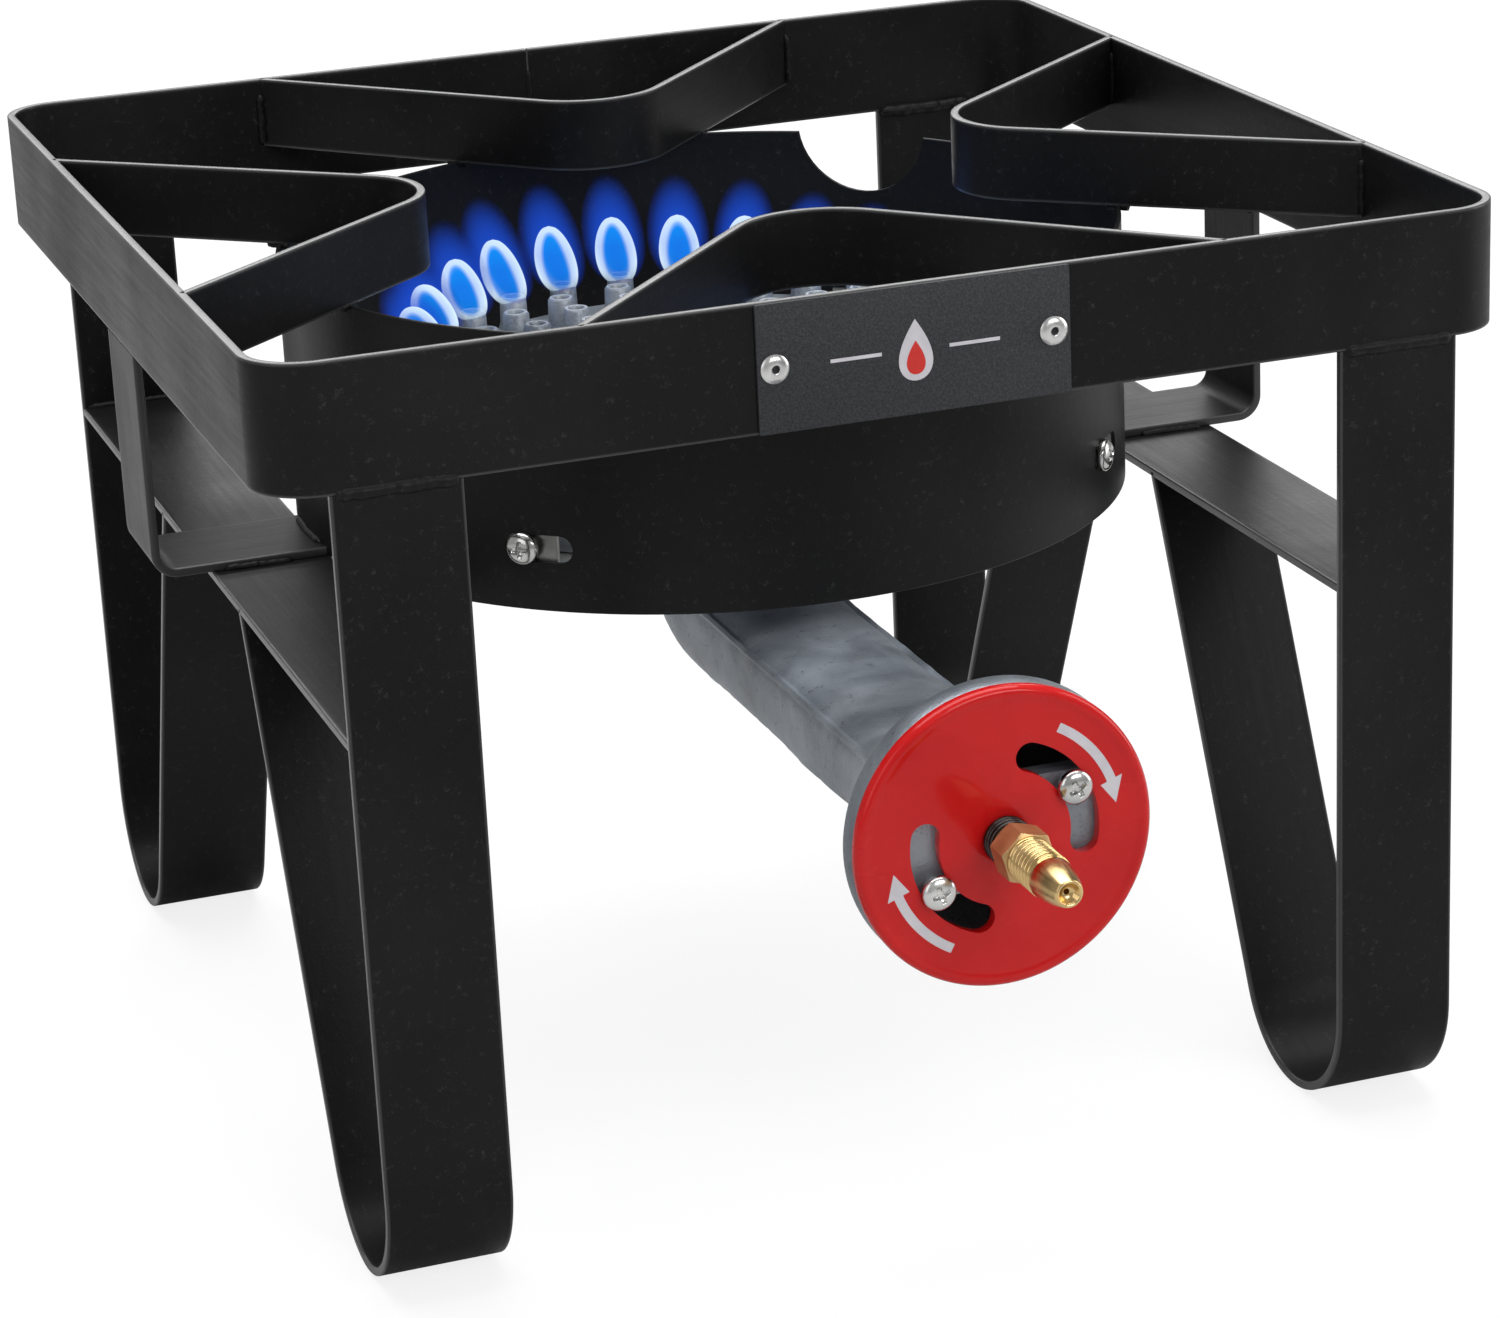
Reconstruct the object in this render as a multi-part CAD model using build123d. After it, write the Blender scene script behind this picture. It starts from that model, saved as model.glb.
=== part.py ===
# Single-burner propane cooker stand: welded flat-bar frame, wind shield, cast burner and air shutter.
# Millimetres, +Z up, floor at Z = 0, the gas inlet points towards -Y.
# Everything is laid out about the middle of the square top ring, then moved by frame_shift on export,
# which puts the origin under the middle of the whole object's footprint.

import os
from math import asin, atan2, cos, degrees, hypot, radians, sin, tan

from build123d import *

# ---- driving dimensions -------------------------------------------------------------------------

ring_size = 444.5          # outside width of the square top ring
stand_height = 336.0       # floor to pot rest
bar_width = 44.45          # flat bar of the ring, legs, braces and straps
bar_thick = 3.2
ring_corner = 22.0         # outside bend radius of the ring

pot_bar_height = 28.0      # flat bar of the pot supports
pot_end = 112.7            # where a support's legs meet the ring, from the middle of that side
pot_apex = 90.8            # sharp meeting point of a support's legs, from the middle of the ring
pot_bend = 32.0

leg_outer = 200.45         # outer edge of a leg, from the middle of the ring
foot_bend = 40.0           # outside bend radius at the floor
leg_top_inset = 63.0       # where the slanting half of a leg meets its brace, from the middle
brace_top = 207.0          # height of the side braces' top face

strap_bend = 8.0

shield_radius = 158.6      # outside of the wind shield
shield_thick = 1.5
notch_angle = 46.0
notch_radius = 28.0
shield_screw_angle = -133.0
slot_height = 10.0
slot_length = 26.0
slot_lead = 2.0            # degrees from a shield screw to the middle of its slot
shield_screw_z = 230.0

plate_width = 111.1
plate_thick = 1.2
rivet_spread = 49.4        # rivets, each side of the plate's middle
rivet_radius = 2.4

screw_radius = 3.0         # M6 screws
screw_head_radius = 6.0
screw_head_height = 4.2
nut_flats = 10.0
nut_height = 5.0

bowl_radius = 112.0
bowl_floor = 203.0
bowl_shoulder = 222.0      # where the bowl's slanting floor meets its upright wall
bowl_rim = 244.0
bowl_wall = 5.0
bowl_throat = 38.0         # flat middle of the bowl's floor
cap_thick = 8.0
port_height = 13.0
port_radius = 5.5
port_bore = 2.8
port_rings = ((104.0, 26), (87.0, 21), (70.0, 17), (53.0, 13))
lug_reach = 130.0
lug_thick = 7.0
lug_hole_at = 121.0
lug_width = 26.0
hanger_width = 24.0        # zinc hangers that carry the burner
hanger_thick = 2.0
hanger_height = 26.0

tube_z = 164.4             # axis of the mixing tube
tube_width = 54.0
tube_height = 36.0
tube_wall = 5.0
tube_corner = 9.0
elbow_depth = 62.0         # front of the elbow, from the middle of the burner
bell_start = 236.0
flange_radius = 52.2
flange_thick = 11.0
mouth_radius = 44.0
web_half_width = 18.5
web_thick = 8.0

shutter_radius = 52.4
shutter_thick = 4.5
shutter_front = 291.0      # front face of the shutter, from the middle of the ring
shutter_gap = 0.2
shutter_slot_radius = 28.4
shutter_slot_width = 10.2
shutter_slot_sweep = 80.0
shutter_slot_angle = 30.5
shutter_fit = 0.05         # radial clearance on the fitting's neck

neck_radius = 6.0
hex_flats = 17.0
hex_start = 299.5
hex_length = 11.5
thread_radius = 7.94       # 5/8-18 UNF flare thread, outside
thread_length = 18.0
tip_reach = 343.5
tip_radius = 3.6
fitting_bore = 3.0
fitting_inner_end = 262.0
jet_radius = 5.0
jet_orifice = 0.6

spring_wire = 0.6
spring_radius = 7.7
spring_turns = 3.0

# ---- derived places -----------------------------------------------------------------------------

half_ring = ring_size / 2
ring_inside = half_ring - bar_thick
ring_bottom = stand_height - bar_width
leg_inner = leg_outer - bar_width
brace_bottom = brace_top - bar_thick
shield_top = stand_height - pot_bar_height
shield_inside = shield_radius - shield_thick
flange_front = shutter_front - shutter_thick - shutter_gap
bell_end = flange_front - flange_thick
hanger_face = shield_inside - 0.6
lug_bottom = bowl_shoulder - 3.0
cap_top = bowl_rim + cap_thick
frame_shift = (tip_reach - half_ring) / 2

nodes = {}


# ---- helpers ------------------------------------------------------------------------------------

def block(x0, x1, y0, y1, z0, z1):
    """A box given by its low and high corners."""
    middle = Pos((x0 + x1) / 2, (y0 + y1) / 2, (z0 + z1) / 2)
    return middle * Box(x1 - x0, y1 - y0, z1 - z0)


def upright(radius, z0, z1, x=0.0, y=0.0):
    """A cylinder that stands along Z."""
    return Pos(x, y, (z0 + z1) / 2) * Cylinder(radius, z1 - z0)


def front_plane(reach):
    """A plane across the mixing tube, seen from the front: X to the right and Z up."""
    return Plane(origin=(0, -reach, tube_z), x_dir=(1, 0, 0), z_dir=(0, -1, 0))


def along_tube(sketch, start, stop):
    """A sketch in the front plane, drawn out along the tube from start to stop."""
    return front_plane(start) * extrude(sketch, stop - start)


def bent_bar(points, bend, thick):
    """The side view of a bar bent along points: its middle line, bend radius and thickness."""
    left, right, turns = [], [], []
    steps = []
    for a, b in zip(points, points[1:]):
        run = hypot(b[0] - a[0], b[1] - a[1])
        steps.append(((b[0] - a[0]) / run, (b[1] - a[1]) / run))
    for i, (x, y) in enumerate(points):
        before = steps[max(i - 1, 0)]
        after = steps[min(i, len(steps) - 1)]
        nx = -(before[1] + after[1])
        ny = before[0] + after[0]
        size = hypot(nx, ny)
        reach = thick / size
        left.append((x + nx / size * reach, y + ny / size * reach))
        right.append((x - nx / size * reach, y - ny / size * reach))
        turns.append(before[0] * after[1] - before[1] * after[0])
    outline = make_face(Polyline(*left, *reversed(right), close=True))
    for i in range(1, len(points) - 1):
        inner, outer = (left[i], right[i]) if turns[i] > 0 else (right[i], left[i])
        for corner, radius in ((inner, bend - thick / 2), (outer, bend + thick / 2)):
            spot = outline.vertices().sort_by_distance((corner[0], corner[1], 0))[0]
            outline = fillet(spot, radius)
    return outline


def hex_bar(flats, height):
    """A hexagonal prism that starts at Z = 0."""
    return extrude(RegularPolygon(flats / 2, 6, major_radius=False), height)


def pan_head(length):
    """A pan-head screw: its head is above Z = 0 and its shank is below."""
    head = upright(screw_head_radius, 0, screw_head_height)
    head = fillet(head.edges().group_by(Axis.Z)[-1], screw_head_height * 0.7)
    return head + upright(screw_radius, -length, 0)


def outward(angle, reach, z):
    """A place on the wind shield's side whose own +Z points away from the middle."""
    a = radians(angle)
    spot = (reach * cos(a), reach * sin(a), z)
    return Plane(origin=spot, x_dir=(-sin(a), cos(a), 0), z_dir=(cos(a), sin(a), 0))


# ---- top ring and pot supports ------------------------------------------------------------------

def make_top_ring():
    inner_corner = ring_corner - bar_thick
    outer = RectangleRounded(ring_size, ring_size, ring_corner)
    inner = RectangleRounded(2 * ring_inside, 2 * ring_inside, inner_corner)
    ring = Pos(0, 0, ring_bottom) * extrude(outer - inner, bar_width)
    rivet_z = ring_bottom + bar_width / 2
    for side in (-1, 1):
        hole = Pos(side * rivet_spread, -half_ring, rivet_z) * Rot(90, 0, 0)
        ring -= hole * Cylinder(rivet_radius, 4 * bar_thick)
    return ring


def make_pot_support(turn):
    past = 6.0
    slope = (ring_inside - pot_apex) / pot_end
    end = (pot_end + past / slope, -(ring_inside + past))
    path = [(-end[0], end[1]), (0, -pot_apex), end]
    bar = Pos(0, 0, shield_top) * extrude(bent_bar(path, pot_bend, bar_thick), pot_bar_height)
    bar &= block(-ring_inside, ring_inside, -ring_inside, ring_inside, 0, stand_height)
    return Rot(0, 0, turn) * bar


nodes["top_ring"] = make_top_ring()
for name, turn in (("front", 0), ("right", 90), ("back", 180), ("left", 270)):
    nodes["pot_support_" + name] = make_pot_support(turn)


# ---- legs, braces and straps --------------------------------------------------------------------

def make_leg(x_side, y_side):
    """One bar: upright under the ring, round at the floor and slanting back up to the brace."""
    mid = bar_thick / 2
    upright_y = -half_ring + mid
    bend = foot_bend - mid
    centre_y = -half_ring + foot_bend
    rise = brace_bottom - foot_bend
    run = -leg_top_inset - centre_y
    slant = degrees(atan2(rise, run)) + degrees(asin(foot_bend / hypot(run, rise)))
    across = (cos(radians(slant)), sin(radians(slant)))
    top = (-leg_top_inset - mid * across[1], brace_bottom + mid * across[0])
    low = (upright_y, top[1] - (top[0] - upright_y) * tan(radians(slant)))
    past = (top[0] + 8 * across[0], top[1] + 8 * across[1])
    side = bent_bar([(upright_y, ring_bottom), low, past], bend, bar_thick)
    place = Plane(origin=(leg_inner, 0, 0), x_dir=(0, 1, 0), z_dir=(1, 0, 0))
    leg = place * extrude(side, bar_width)
    leg -= block(0, ring_size, -half_ring + 2 * bar_thick, half_ring, brace_bottom, stand_height)
    if y_side > 0:
        leg = mirror(leg, Plane.XZ)
    if x_side < 0:
        leg = mirror(leg, Plane.YZ)
    return leg


def make_strap(x_side):
    """Hangs from the middle of a ring side, then turns in along the brace to the wind shield."""
    mid = bar_thick / 2
    path = [(half_ring - mid, ring_bottom), (half_ring - mid, brace_top + mid), (140, brace_top + mid)]
    side = bent_bar(path, strap_bend, bar_thick)
    place = Plane(origin=(0, bar_width / 2, 0), x_dir=(1, 0, 0), z_dir=(0, -1, 0))
    strap = place * extrude(side, bar_width)
    strap -= upright(shield_radius, 0, stand_height)
    if x_side < 0:
        strap = mirror(strap, Plane.YZ)
    return strap


for y_name, y_side in (("front", -1), ("back", 1)):
    for x_name, x_side in (("left", -1), ("right", 1)):
        nodes[f"leg_{y_name}_{x_name}"] = make_leg(x_side, y_side)

brace_end = half_ring - bar_thick
for x_name, x_side in (("left", -1), ("right", 1)):
    low_x, high_x = sorted((x_side * leg_inner, x_side * leg_outer))
    nodes["side_brace_" + x_name] = block(low_x, high_x, -brace_end, brace_end, brace_bottom, brace_top)
    nodes["shield_strap_" + x_name] = make_strap(x_side)


# ---- wind shield --------------------------------------------------------------------------------

def make_wind_shield():
    shell = upright(shield_radius, brace_top, shield_top)
    shell -= upright(shield_inside, brace_top - 1, shield_top + 1)
    notch = outward(notch_angle, shield_radius, shield_top + 4.0)
    shell -= notch * Cylinder(notch_radius, 30)
    for k in range(4):
        place = outward(shield_screw_angle + slot_lead + 90 * k, shield_radius, shield_screw_z)
        slot = SlotOverall(slot_length, slot_height)
        shell -= place * Pos(0, 0, -10) * extrude(slot, 20)
    return shell


nodes["wind_shield"] = make_wind_shield()


# ---- name plate ---------------------------------------------------------------------------------

plate_z = ring_bottom + bar_width / 2
plate = block(-plate_width / 2, plate_width / 2, -half_ring - plate_thick, -half_ring,
              ring_bottom, stand_height - 0.4)
rivets = []
for side in (-1, 1):
    spot = Pos(side * rivet_spread, -half_ring - plate_thick, plate_z) * Rot(90, 0, 0)
    plate -= spot * Cylinder(rivet_radius, 4 * plate_thick)
    grip = plate_thick + bar_thick
    head = extrude(Circle(5.0), 1.6)
    head = fillet(head.edges().group_by(Axis.Z)[-1], 1.2)
    shank = Pos(0, 0, -grip) * extrude(Circle(rivet_radius), grip)
    tail = Pos(0, 0, -grip - 2.6) * extrude(Circle(3.6), 2.6)
    rivet = head + shank + tail - Pos(0, 0, 0.2) * extrude(Circle(1.3), 3)
    rivets.append(spot * rivet)
nodes["name_plate"] = plate
nodes["name_plate_rivets"] = Compound(rivets)


# ---- burner -------------------------------------------------------------------------------------

def tube_section(width, height, corner):
    return RectangleRounded(width, height, corner)


def make_burner_casting():
    """Bowl, elbow, mixing tube and bell mouth, cast in one piece and hollow."""
    wall = bowl_wall
    outside = make_face(Polyline((0, bowl_floor), (bowl_throat, bowl_floor),
                                 (bowl_radius - 4, bowl_shoulder - 3), (bowl_radius, bowl_shoulder),
                                 (bowl_radius, bowl_rim), (0, bowl_rim), close=True))
    inside = make_face(Polyline((0, bowl_floor + wall), (bowl_throat - 2, bowl_floor + wall),
                                (bowl_radius - wall - 3, bowl_shoulder + wall - 2),
                                (bowl_radius - wall, bowl_rim + 1), (0, bowl_rim + 1), close=True))
    casting = revolve(Plane.XZ * outside, Axis.Z)
    for k in range(4):
        turn = Rot(0, 0, shield_screw_angle + 90 * k)
        lug = block(bowl_radius - 12, lug_reach, -lug_width / 2, lug_width / 2, lug_bottom,
                    lug_bottom + lug_thick)
        lug = fillet(lug.edges().filter_by(Axis.Z).group_by(Axis.X)[-1], 9)
        casting += turn * lug
    half = tube_width / 2
    back = half
    low = tube_z - tube_height / 2
    elbow = block(-half, half, -elbow_depth, back, low, bowl_floor + 2)
    elbow = chamfer(elbow.edges().filter_by(Axis.X).sort_by(Axis.Y)[-2:].sort_by(Axis.Z)[0:1], 26)
    casting += elbow
    casting += along_tube(tube_section(tube_width, tube_height, tube_corner), elbow_depth - 12, bell_start)
    bell = loft([front_plane(bell_start) * tube_section(tube_width, tube_height, tube_corner),
                 front_plane(bell_end) * Circle(mouth_radius + 4)])
    casting += bell
    casting += along_tube(Circle(flange_radius), bell_end, flange_front)

    casting -= revolve(Plane.XZ * inside, Axis.Z)
    thin = tube_wall
    elbow_hole = block(-half + thin, half - thin, -elbow_depth + thin, back - thin,
                       low + thin, bowl_floor + wall + 1)
    elbow_hole = chamfer(elbow_hole.edges().filter_by(Axis.X).sort_by(Axis.Y)[-2:].sort_by(Axis.Z)[0:1], 24)
    casting -= elbow_hole
    bore = tube_section(tube_width - 2 * thin, tube_height - 2 * thin, tube_corner - 4)
    casting -= along_tube(bore, elbow_depth - 8, bell_start)
    casting -= loft([front_plane(bell_start) * bore, front_plane(bell_end) * Circle(mouth_radius - 2)])
    mouth = Circle(mouth_radius)
    web = Rectangle(2 * mouth_radius + 2, 2 * web_half_width)
    casting -= along_tube(mouth, bell_end, flange_front + 1)
    casting += along_tube(web & Circle(mouth_radius + 1), flange_front - web_thick, flange_front)
    hub = along_tube(Circle(11), flange_front - web_thick - 8, flange_front)
    casting += hub
    casting -= along_tube(Circle(neck_radius), flange_front - web_thick - 9, flange_front + 1)
    for k in range(2):
        a = radians(shutter_slot_angle + 180 * k)
        spot = Pos(shutter_slot_radius * cos(a), shutter_slot_radius * sin(a))
        casting -= along_tube(spot * Circle(screw_radius), flange_front - web_thick - 1, flange_front + 1)

    post = upright(9, bowl_floor, bowl_rim)
    post += block(-half + 1, half - 1, -5, 5, bowl_floor, bowl_floor + 9)
    casting += post
    casting -= upright(4, bowl_rim - 22, bowl_rim + 1)
    for k in range(4):
        a = radians(shield_screw_angle + 90 * k)
        casting -= upright(screw_radius + 0.3, lug_bottom - 1, lug_bottom + lug_thick + 1,
                           lug_hole_at * cos(a), lug_hole_at * sin(a))
    return casting


def make_burner_cap():
    """The port plate: rings of raised tubular ports."""
    cap = upright(bowl_radius, bowl_rim, cap_top)
    cap = chamfer(cap.edges().group_by(Axis.Z)[-1], 2)
    spots = []
    for ring_radius, count in port_rings:
        for k in range(count):
            a = radians(360 * (k + 0.5) / count)
            spots.append((ring_radius * cos(a), ring_radius * sin(a)))
    ports = Sketch() + [Pos(x, y) * Circle(port_radius) for x, y in spots]
    bores = Sketch() + [Pos(x, y) * Circle(port_bore) for x, y in spots]
    cap += Pos(0, 0, cap_top - 1) * extrude(ports, port_height + 1)
    cap -= Pos(0, 0, bowl_rim - 1) * extrude(bores, cap_thick + port_height + 2)
    cap -= upright(4.3, bowl_rim - 1, cap_top + 1)
    return cap


def make_hanger(angle):
    """A zinc strip from the burner's lug to the wind shield, with its end turned up."""
    path = [(lug_hole_at - 9, lug_bottom - hanger_thick / 2),
            (hanger_face - hanger_thick / 2, lug_bottom - hanger_thick / 2),
            (hanger_face - hanger_thick / 2, lug_bottom - hanger_thick + hanger_height)]
    side = bent_bar(path, 4.0, hanger_thick)
    place = Plane(origin=(0, hanger_width / 2, 0), x_dir=(1, 0, 0), z_dir=(0, -1, 0))
    hanger = place * extrude(side, hanger_width)
    hanger -= upright(screw_radius + 0.2, 0, stand_height, lug_hole_at, 0)
    hanger = Rot(0, 0, angle) * hanger
    return hanger - outward(angle, hanger_face, shield_screw_z) * Cylinder(screw_radius + 0.1, 30)


nodes["burner_casting"] = make_burner_casting()
nodes["burner_cap"] = make_burner_cap()
cap_bolt = Pos(0, 0, cap_top) * hex_bar(13, 5.3) + upright(4, bowl_rim - 20, cap_top)
nodes["burner_cap_bolt"] = cap_bolt

hangers, wall_screws, wall_nuts, lug_screws, lug_nuts = [], [], [], [], []
for k in range(4):
    angle = shield_screw_angle + 90 * k
    a = radians(angle)
    hangers.append(make_hanger(angle))
    wall_screws.append(outward(angle, shield_radius + 0.2, shield_screw_z) * pan_head(13))
    inner_face = hanger_face - hanger_thick
    nut = hex_bar(nut_flats, nut_height) - upright(screw_radius, -1, nut_height + 1)
    wall_nuts.append(outward(angle, inner_face - nut_height, shield_screw_z) * nut)
    lug_spot = Pos(lug_hole_at * cos(a), lug_hole_at * sin(a), lug_bottom)
    lug_screws.append(lug_spot * Pos(0, 0, lug_thick) * pan_head(lug_thick + hanger_thick + nut_height + 2))
    lug_nuts.append(lug_spot * Pos(0, 0, -hanger_thick - nut_height) * nut)
nodes["burner_hangers"] = Compound(hangers)
nodes["shield_screws"] = Compound(wall_screws)
nodes["shield_nuts"] = Compound(wall_nuts)
nodes["hanger_screws"] = Compound(lug_screws)
nodes["hanger_nuts"] = Compound(lug_nuts)


# ---- air shutter and gas inlet ------------------------------------------------------------------

def make_air_shutter():
    disc = along_tube(Circle(shutter_radius), shutter_front - shutter_thick, shutter_front)
    disc = fillet(disc.edges().group_by(Axis.Y)[0], 3.0)
    disc -= along_tube(Circle(neck_radius + shutter_fit), shutter_front - 10, shutter_front + 1)
    for k in range(2):
        start = shutter_slot_angle + 180 * k - shutter_slot_sweep / 2
        middle = CenterArc((0, 0), shutter_slot_radius, start, shutter_slot_sweep)
        slot = SlotArc(middle, shutter_slot_width)
        disc -= along_tube(slot, shutter_front - 10, shutter_front + 1)
    return disc


def make_gas_fitting():
    hex_end = hex_start + hex_length
    thread_end = hex_end + thread_length
    fitting = along_tube(Circle(neck_radius), fitting_inner_end, hex_start)
    hexagon = RegularPolygon(hex_flats / 2, 6, major_radius=False)
    fitting += along_tube(hexagon, hex_start, hex_end)
    fitting += along_tube(Circle(thread_radius), hex_end, thread_end)
    nose = loft([front_plane(thread_end) * Circle(thread_radius - 0.6),
                 front_plane(tip_reach) * Circle(tip_radius)])
    fitting += nose
    fitting -= along_tube(Circle(fitting_bore), fitting_inner_end - 1, tip_reach + 1)
    return fitting


nodes["air_shutter"] = make_air_shutter()
nodes["gas_fitting"] = make_gas_fitting()

jet = along_tube(Circle(fitting_bore), fitting_inner_end, fitting_inner_end + 10)
jet += along_tube(Circle(jet_radius), fitting_inner_end - 5, fitting_inner_end)
jet -= along_tube(Circle(jet_orifice), fitting_inner_end - 6, fitting_inner_end + 11)
nodes["gas_jet"] = jet

shutter_screws = []
for k in range(2):
    a = radians(shutter_slot_angle + 180 * k)
    spot = Pos(shutter_slot_radius * cos(a), shutter_slot_radius * sin(a), 0.1)
    shutter_screws.append(front_plane(shutter_front) * spot * pan_head(shutter_thick + web_thick))
nodes["shutter_screws"] = Compound(shutter_screws)

spring_space = hex_start - shutter_front - 2 * spring_wire - 0.2
coil = Helix(spring_space / spring_turns, spring_space, spring_radius)
wire_end = Plane(origin=coil @ 0, z_dir=coil % 0)
spring = sweep(wire_end * Circle(spring_wire), path=coil)
nodes["shutter_spring"] = front_plane(shutter_front + spring_wire + 0.1) * spring


# ---- export -------------------------------------------------------------------------------------

os.makedirs("parts", exist_ok=True)
for name, shape in nodes.items():
    export_step(Pos(0, frame_shift, 0) * shape, os.path.join("parts", name + ".step"))
print(len(nodes), "nodes, origin moved by", round(frame_shift, 3))
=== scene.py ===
import math
import bpy
import bmesh
from mathutils import Matrix, Vector, noise


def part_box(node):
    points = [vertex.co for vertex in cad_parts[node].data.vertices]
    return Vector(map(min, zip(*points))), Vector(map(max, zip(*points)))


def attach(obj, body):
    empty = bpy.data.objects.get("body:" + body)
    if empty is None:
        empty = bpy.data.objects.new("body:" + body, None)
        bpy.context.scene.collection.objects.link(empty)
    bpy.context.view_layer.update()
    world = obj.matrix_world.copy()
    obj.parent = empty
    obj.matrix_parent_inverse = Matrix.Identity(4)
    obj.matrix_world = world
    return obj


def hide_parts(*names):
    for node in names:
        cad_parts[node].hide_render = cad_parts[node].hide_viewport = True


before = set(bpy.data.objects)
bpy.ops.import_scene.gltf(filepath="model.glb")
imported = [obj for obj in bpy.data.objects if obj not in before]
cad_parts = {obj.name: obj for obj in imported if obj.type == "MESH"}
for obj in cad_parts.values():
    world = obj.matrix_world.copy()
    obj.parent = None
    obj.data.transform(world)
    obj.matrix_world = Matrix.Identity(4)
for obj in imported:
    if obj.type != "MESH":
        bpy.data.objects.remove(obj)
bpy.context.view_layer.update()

mm = 0.001
standBody = "stand"
shutterBody = "shutter"

# the places that everything else hangs on, read from the frame
ringLow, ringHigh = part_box("top_ring")
midY = (ringLow.y + ringHigh.y) / 2
halfRing = (ringHigh.x - ringLow.x) / 2
ringTop = ringHigh.z
ringBottom = ringLow.z
braceLow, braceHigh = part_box("side_brace_right")
shieldLow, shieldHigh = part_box("wind_shield")
shutterLow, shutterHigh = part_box("air_shutter")
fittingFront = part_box("gas_fitting")[0].y
tubeZ = (shutterLow.z + shutterHigh.z) / 2
shutterFront = shutterLow.y
print("frame read")


# small makers

def newObject(name, mesh):
    thing = bpy.data.objects.new(name, mesh)
    bpy.context.scene.collection.objects.link(thing)
    return thing


def meshOf(name, verts, faces, edges=()):
    mesh = bpy.data.meshes.new(name)
    mesh.from_pydata(verts, edges, faces)
    return mesh


def around(steps):
    return [2 * math.pi * k / steps for k in range(steps)]


def polar(radius, a):
    return radius * math.cos(a), radius * math.sin(a)


def plainMesh(thing):
    # bakes the modifiers into a plain mesh
    graph = bpy.context.evaluated_depsgraph_get()
    graph.update()
    made = bpy.data.meshes.new_from_object(thing.evaluated_get(graph))
    thing.modifiers.clear()
    thing.data = made
    return thing


def smoothBy(mesh, degrees):
    mesh.shade_smooth()
    mesh.set_sharp_from_angle(angle=math.radians(degrees))


def tidyMesh(mesh, merge=0.00001, outward=True):
    work = bmesh.new()
    work.from_mesh(mesh)
    if merge:
        bmesh.ops.remove_doubles(work, verts=work.verts, dist=merge)
    if outward:
        bmesh.ops.recalc_face_normals(work, faces=work.faces)
    work.to_mesh(mesh)
    work.free()


def handOver(thing, finish, nodes=(), angle=38, body=standBody):
    # the last step of every piece: finish, body and the nodes it stands for
    if finish is not None:
        thing.data.materials.clear()
        thing.data.materials.append(finish)
    smoothBy(thing.data, angle)
    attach(thing, body)
    if nodes:
        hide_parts(*nodes)


def rowFaces(rows, steps, start=0):
    # the quads between rows of points
    faces = []
    for a in range(start, start + (rows - 1) * steps, steps):
        for k in range(steps):
            m = (k + 1) % steps
            faces.append((a + k, a + m, a + steps + m, a + steps + k))
    return faces


def skinned(name, rows, capped=True):
    # a skin over rows of points, each row going once round
    steps, last = len(rows[0]), (len(rows) - 1) * len(rows[0])
    faces = rowFaces(len(rows), steps)
    if capped:
        faces += [tuple(range(steps)), tuple(range(last, last + steps))]
    mesh = meshOf(name, [tuple(p) for row in rows for p in row], faces)
    tidyMesh(mesh, 1e-7)
    return newObject(name, mesh)


def cutWith(thing, cutters, edge=0.0, segments=2, limit=40):
    # takes the cutters out of the piece, then rounds the edges that are left
    for cutter in cutters:
        cut = thing.modifiers.new("cut", "BOOLEAN")
        cut.operation = "DIFFERENCE"
        cut.solver = "EXACT"
        cut.object = cutter
    if edge > 0:
        rounding = thing.modifiers.new("edge", "BEVEL")
        rounding.width = edge
        rounding.segments = segments
        rounding.limit_method = "ANGLE"
        rounding.angle_limit = math.radians(limit)
        rounding.use_clamp_overlap = True
    plainMesh(thing)
    for cutter in cutters:
        bpy.data.objects.remove(cutter)


def bendPath(corners, radius, step=5.0, longest=0.03):
    # the points of a line through the corners, each corner turned on an arc
    points = [Vector(corners[0])]
    for before, corner, after in zip(corners, corners[1:], corners[2:]):
        before, corner, after = Vector(before), Vector(corner), Vector(after)
        goIn, goOut = (corner - before).normalized(), (after - corner).normalized()
        turn = goIn.angle(goOut)
        start = corner - goIn * radius * math.tan(turn / 2)
        way = 1 if goIn.x * goOut.y - goIn.y * goOut.x > 0 else -1
        centre = start + Vector((-goIn.y, goIn.x)) * way * radius
        count = max(2, round(math.degrees(turn) / step))
        for k in range(count + 1):
            points.append(centre + Matrix.Rotation(turn * k / count * way, 2) @ (start - centre))
    points.append(Vector(corners[-1]))
    full = [points[0]]
    for a, b in zip(points, points[1:]):
        gap = (b - a).length
        if gap > 1e-7:
            parts = max(1, math.ceil(gap / longest))
            full += [a.lerp(b, k / parts) for k in range(1, parts + 1)]
    return full


def arcPoints(cx, cy, radius, start, stop, count):
    spots = []
    for k in range(count + 1):
        x, y = polar(radius, math.radians(start + (stop - start) * k / count))
        spots.append((cx + x, cy + y))
    return spots


def roundedOutline(width, height, corner, count=4):
    spots = []
    for sx, sy, start in ((1, -1, -90), (1, 1, 0), (-1, 1, 90), (-1, -1, 180)):
        x, y = sx * (width / 2 - corner), sy * (height / 2 - corner)
        spots += arcPoints(x, y, corner, start, start + 90, count)
    return spots


def barSection(thick, width, edge, rows=3):
    # rounded rectangle: (across the thickness, across the width, how near an edge)
    section, inset = [], min(1.6 * mm, width / 6)
    corners = roundedOutline(thick, width, edge, rows)
    for (x, y), (afterX, afterY) in zip(corners, corners[1:] + corners[:1]):
        section.append((x, y, 1.0))
        if abs(afterY - y) > 3 * inset:
            lean = math.copysign(inset, afterY - y)
            section += [(x, y + lean, 0.0), (x, (y + afterY) / 2, 0.0), (x, afterY - lean, 0.0)]
    return section


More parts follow.
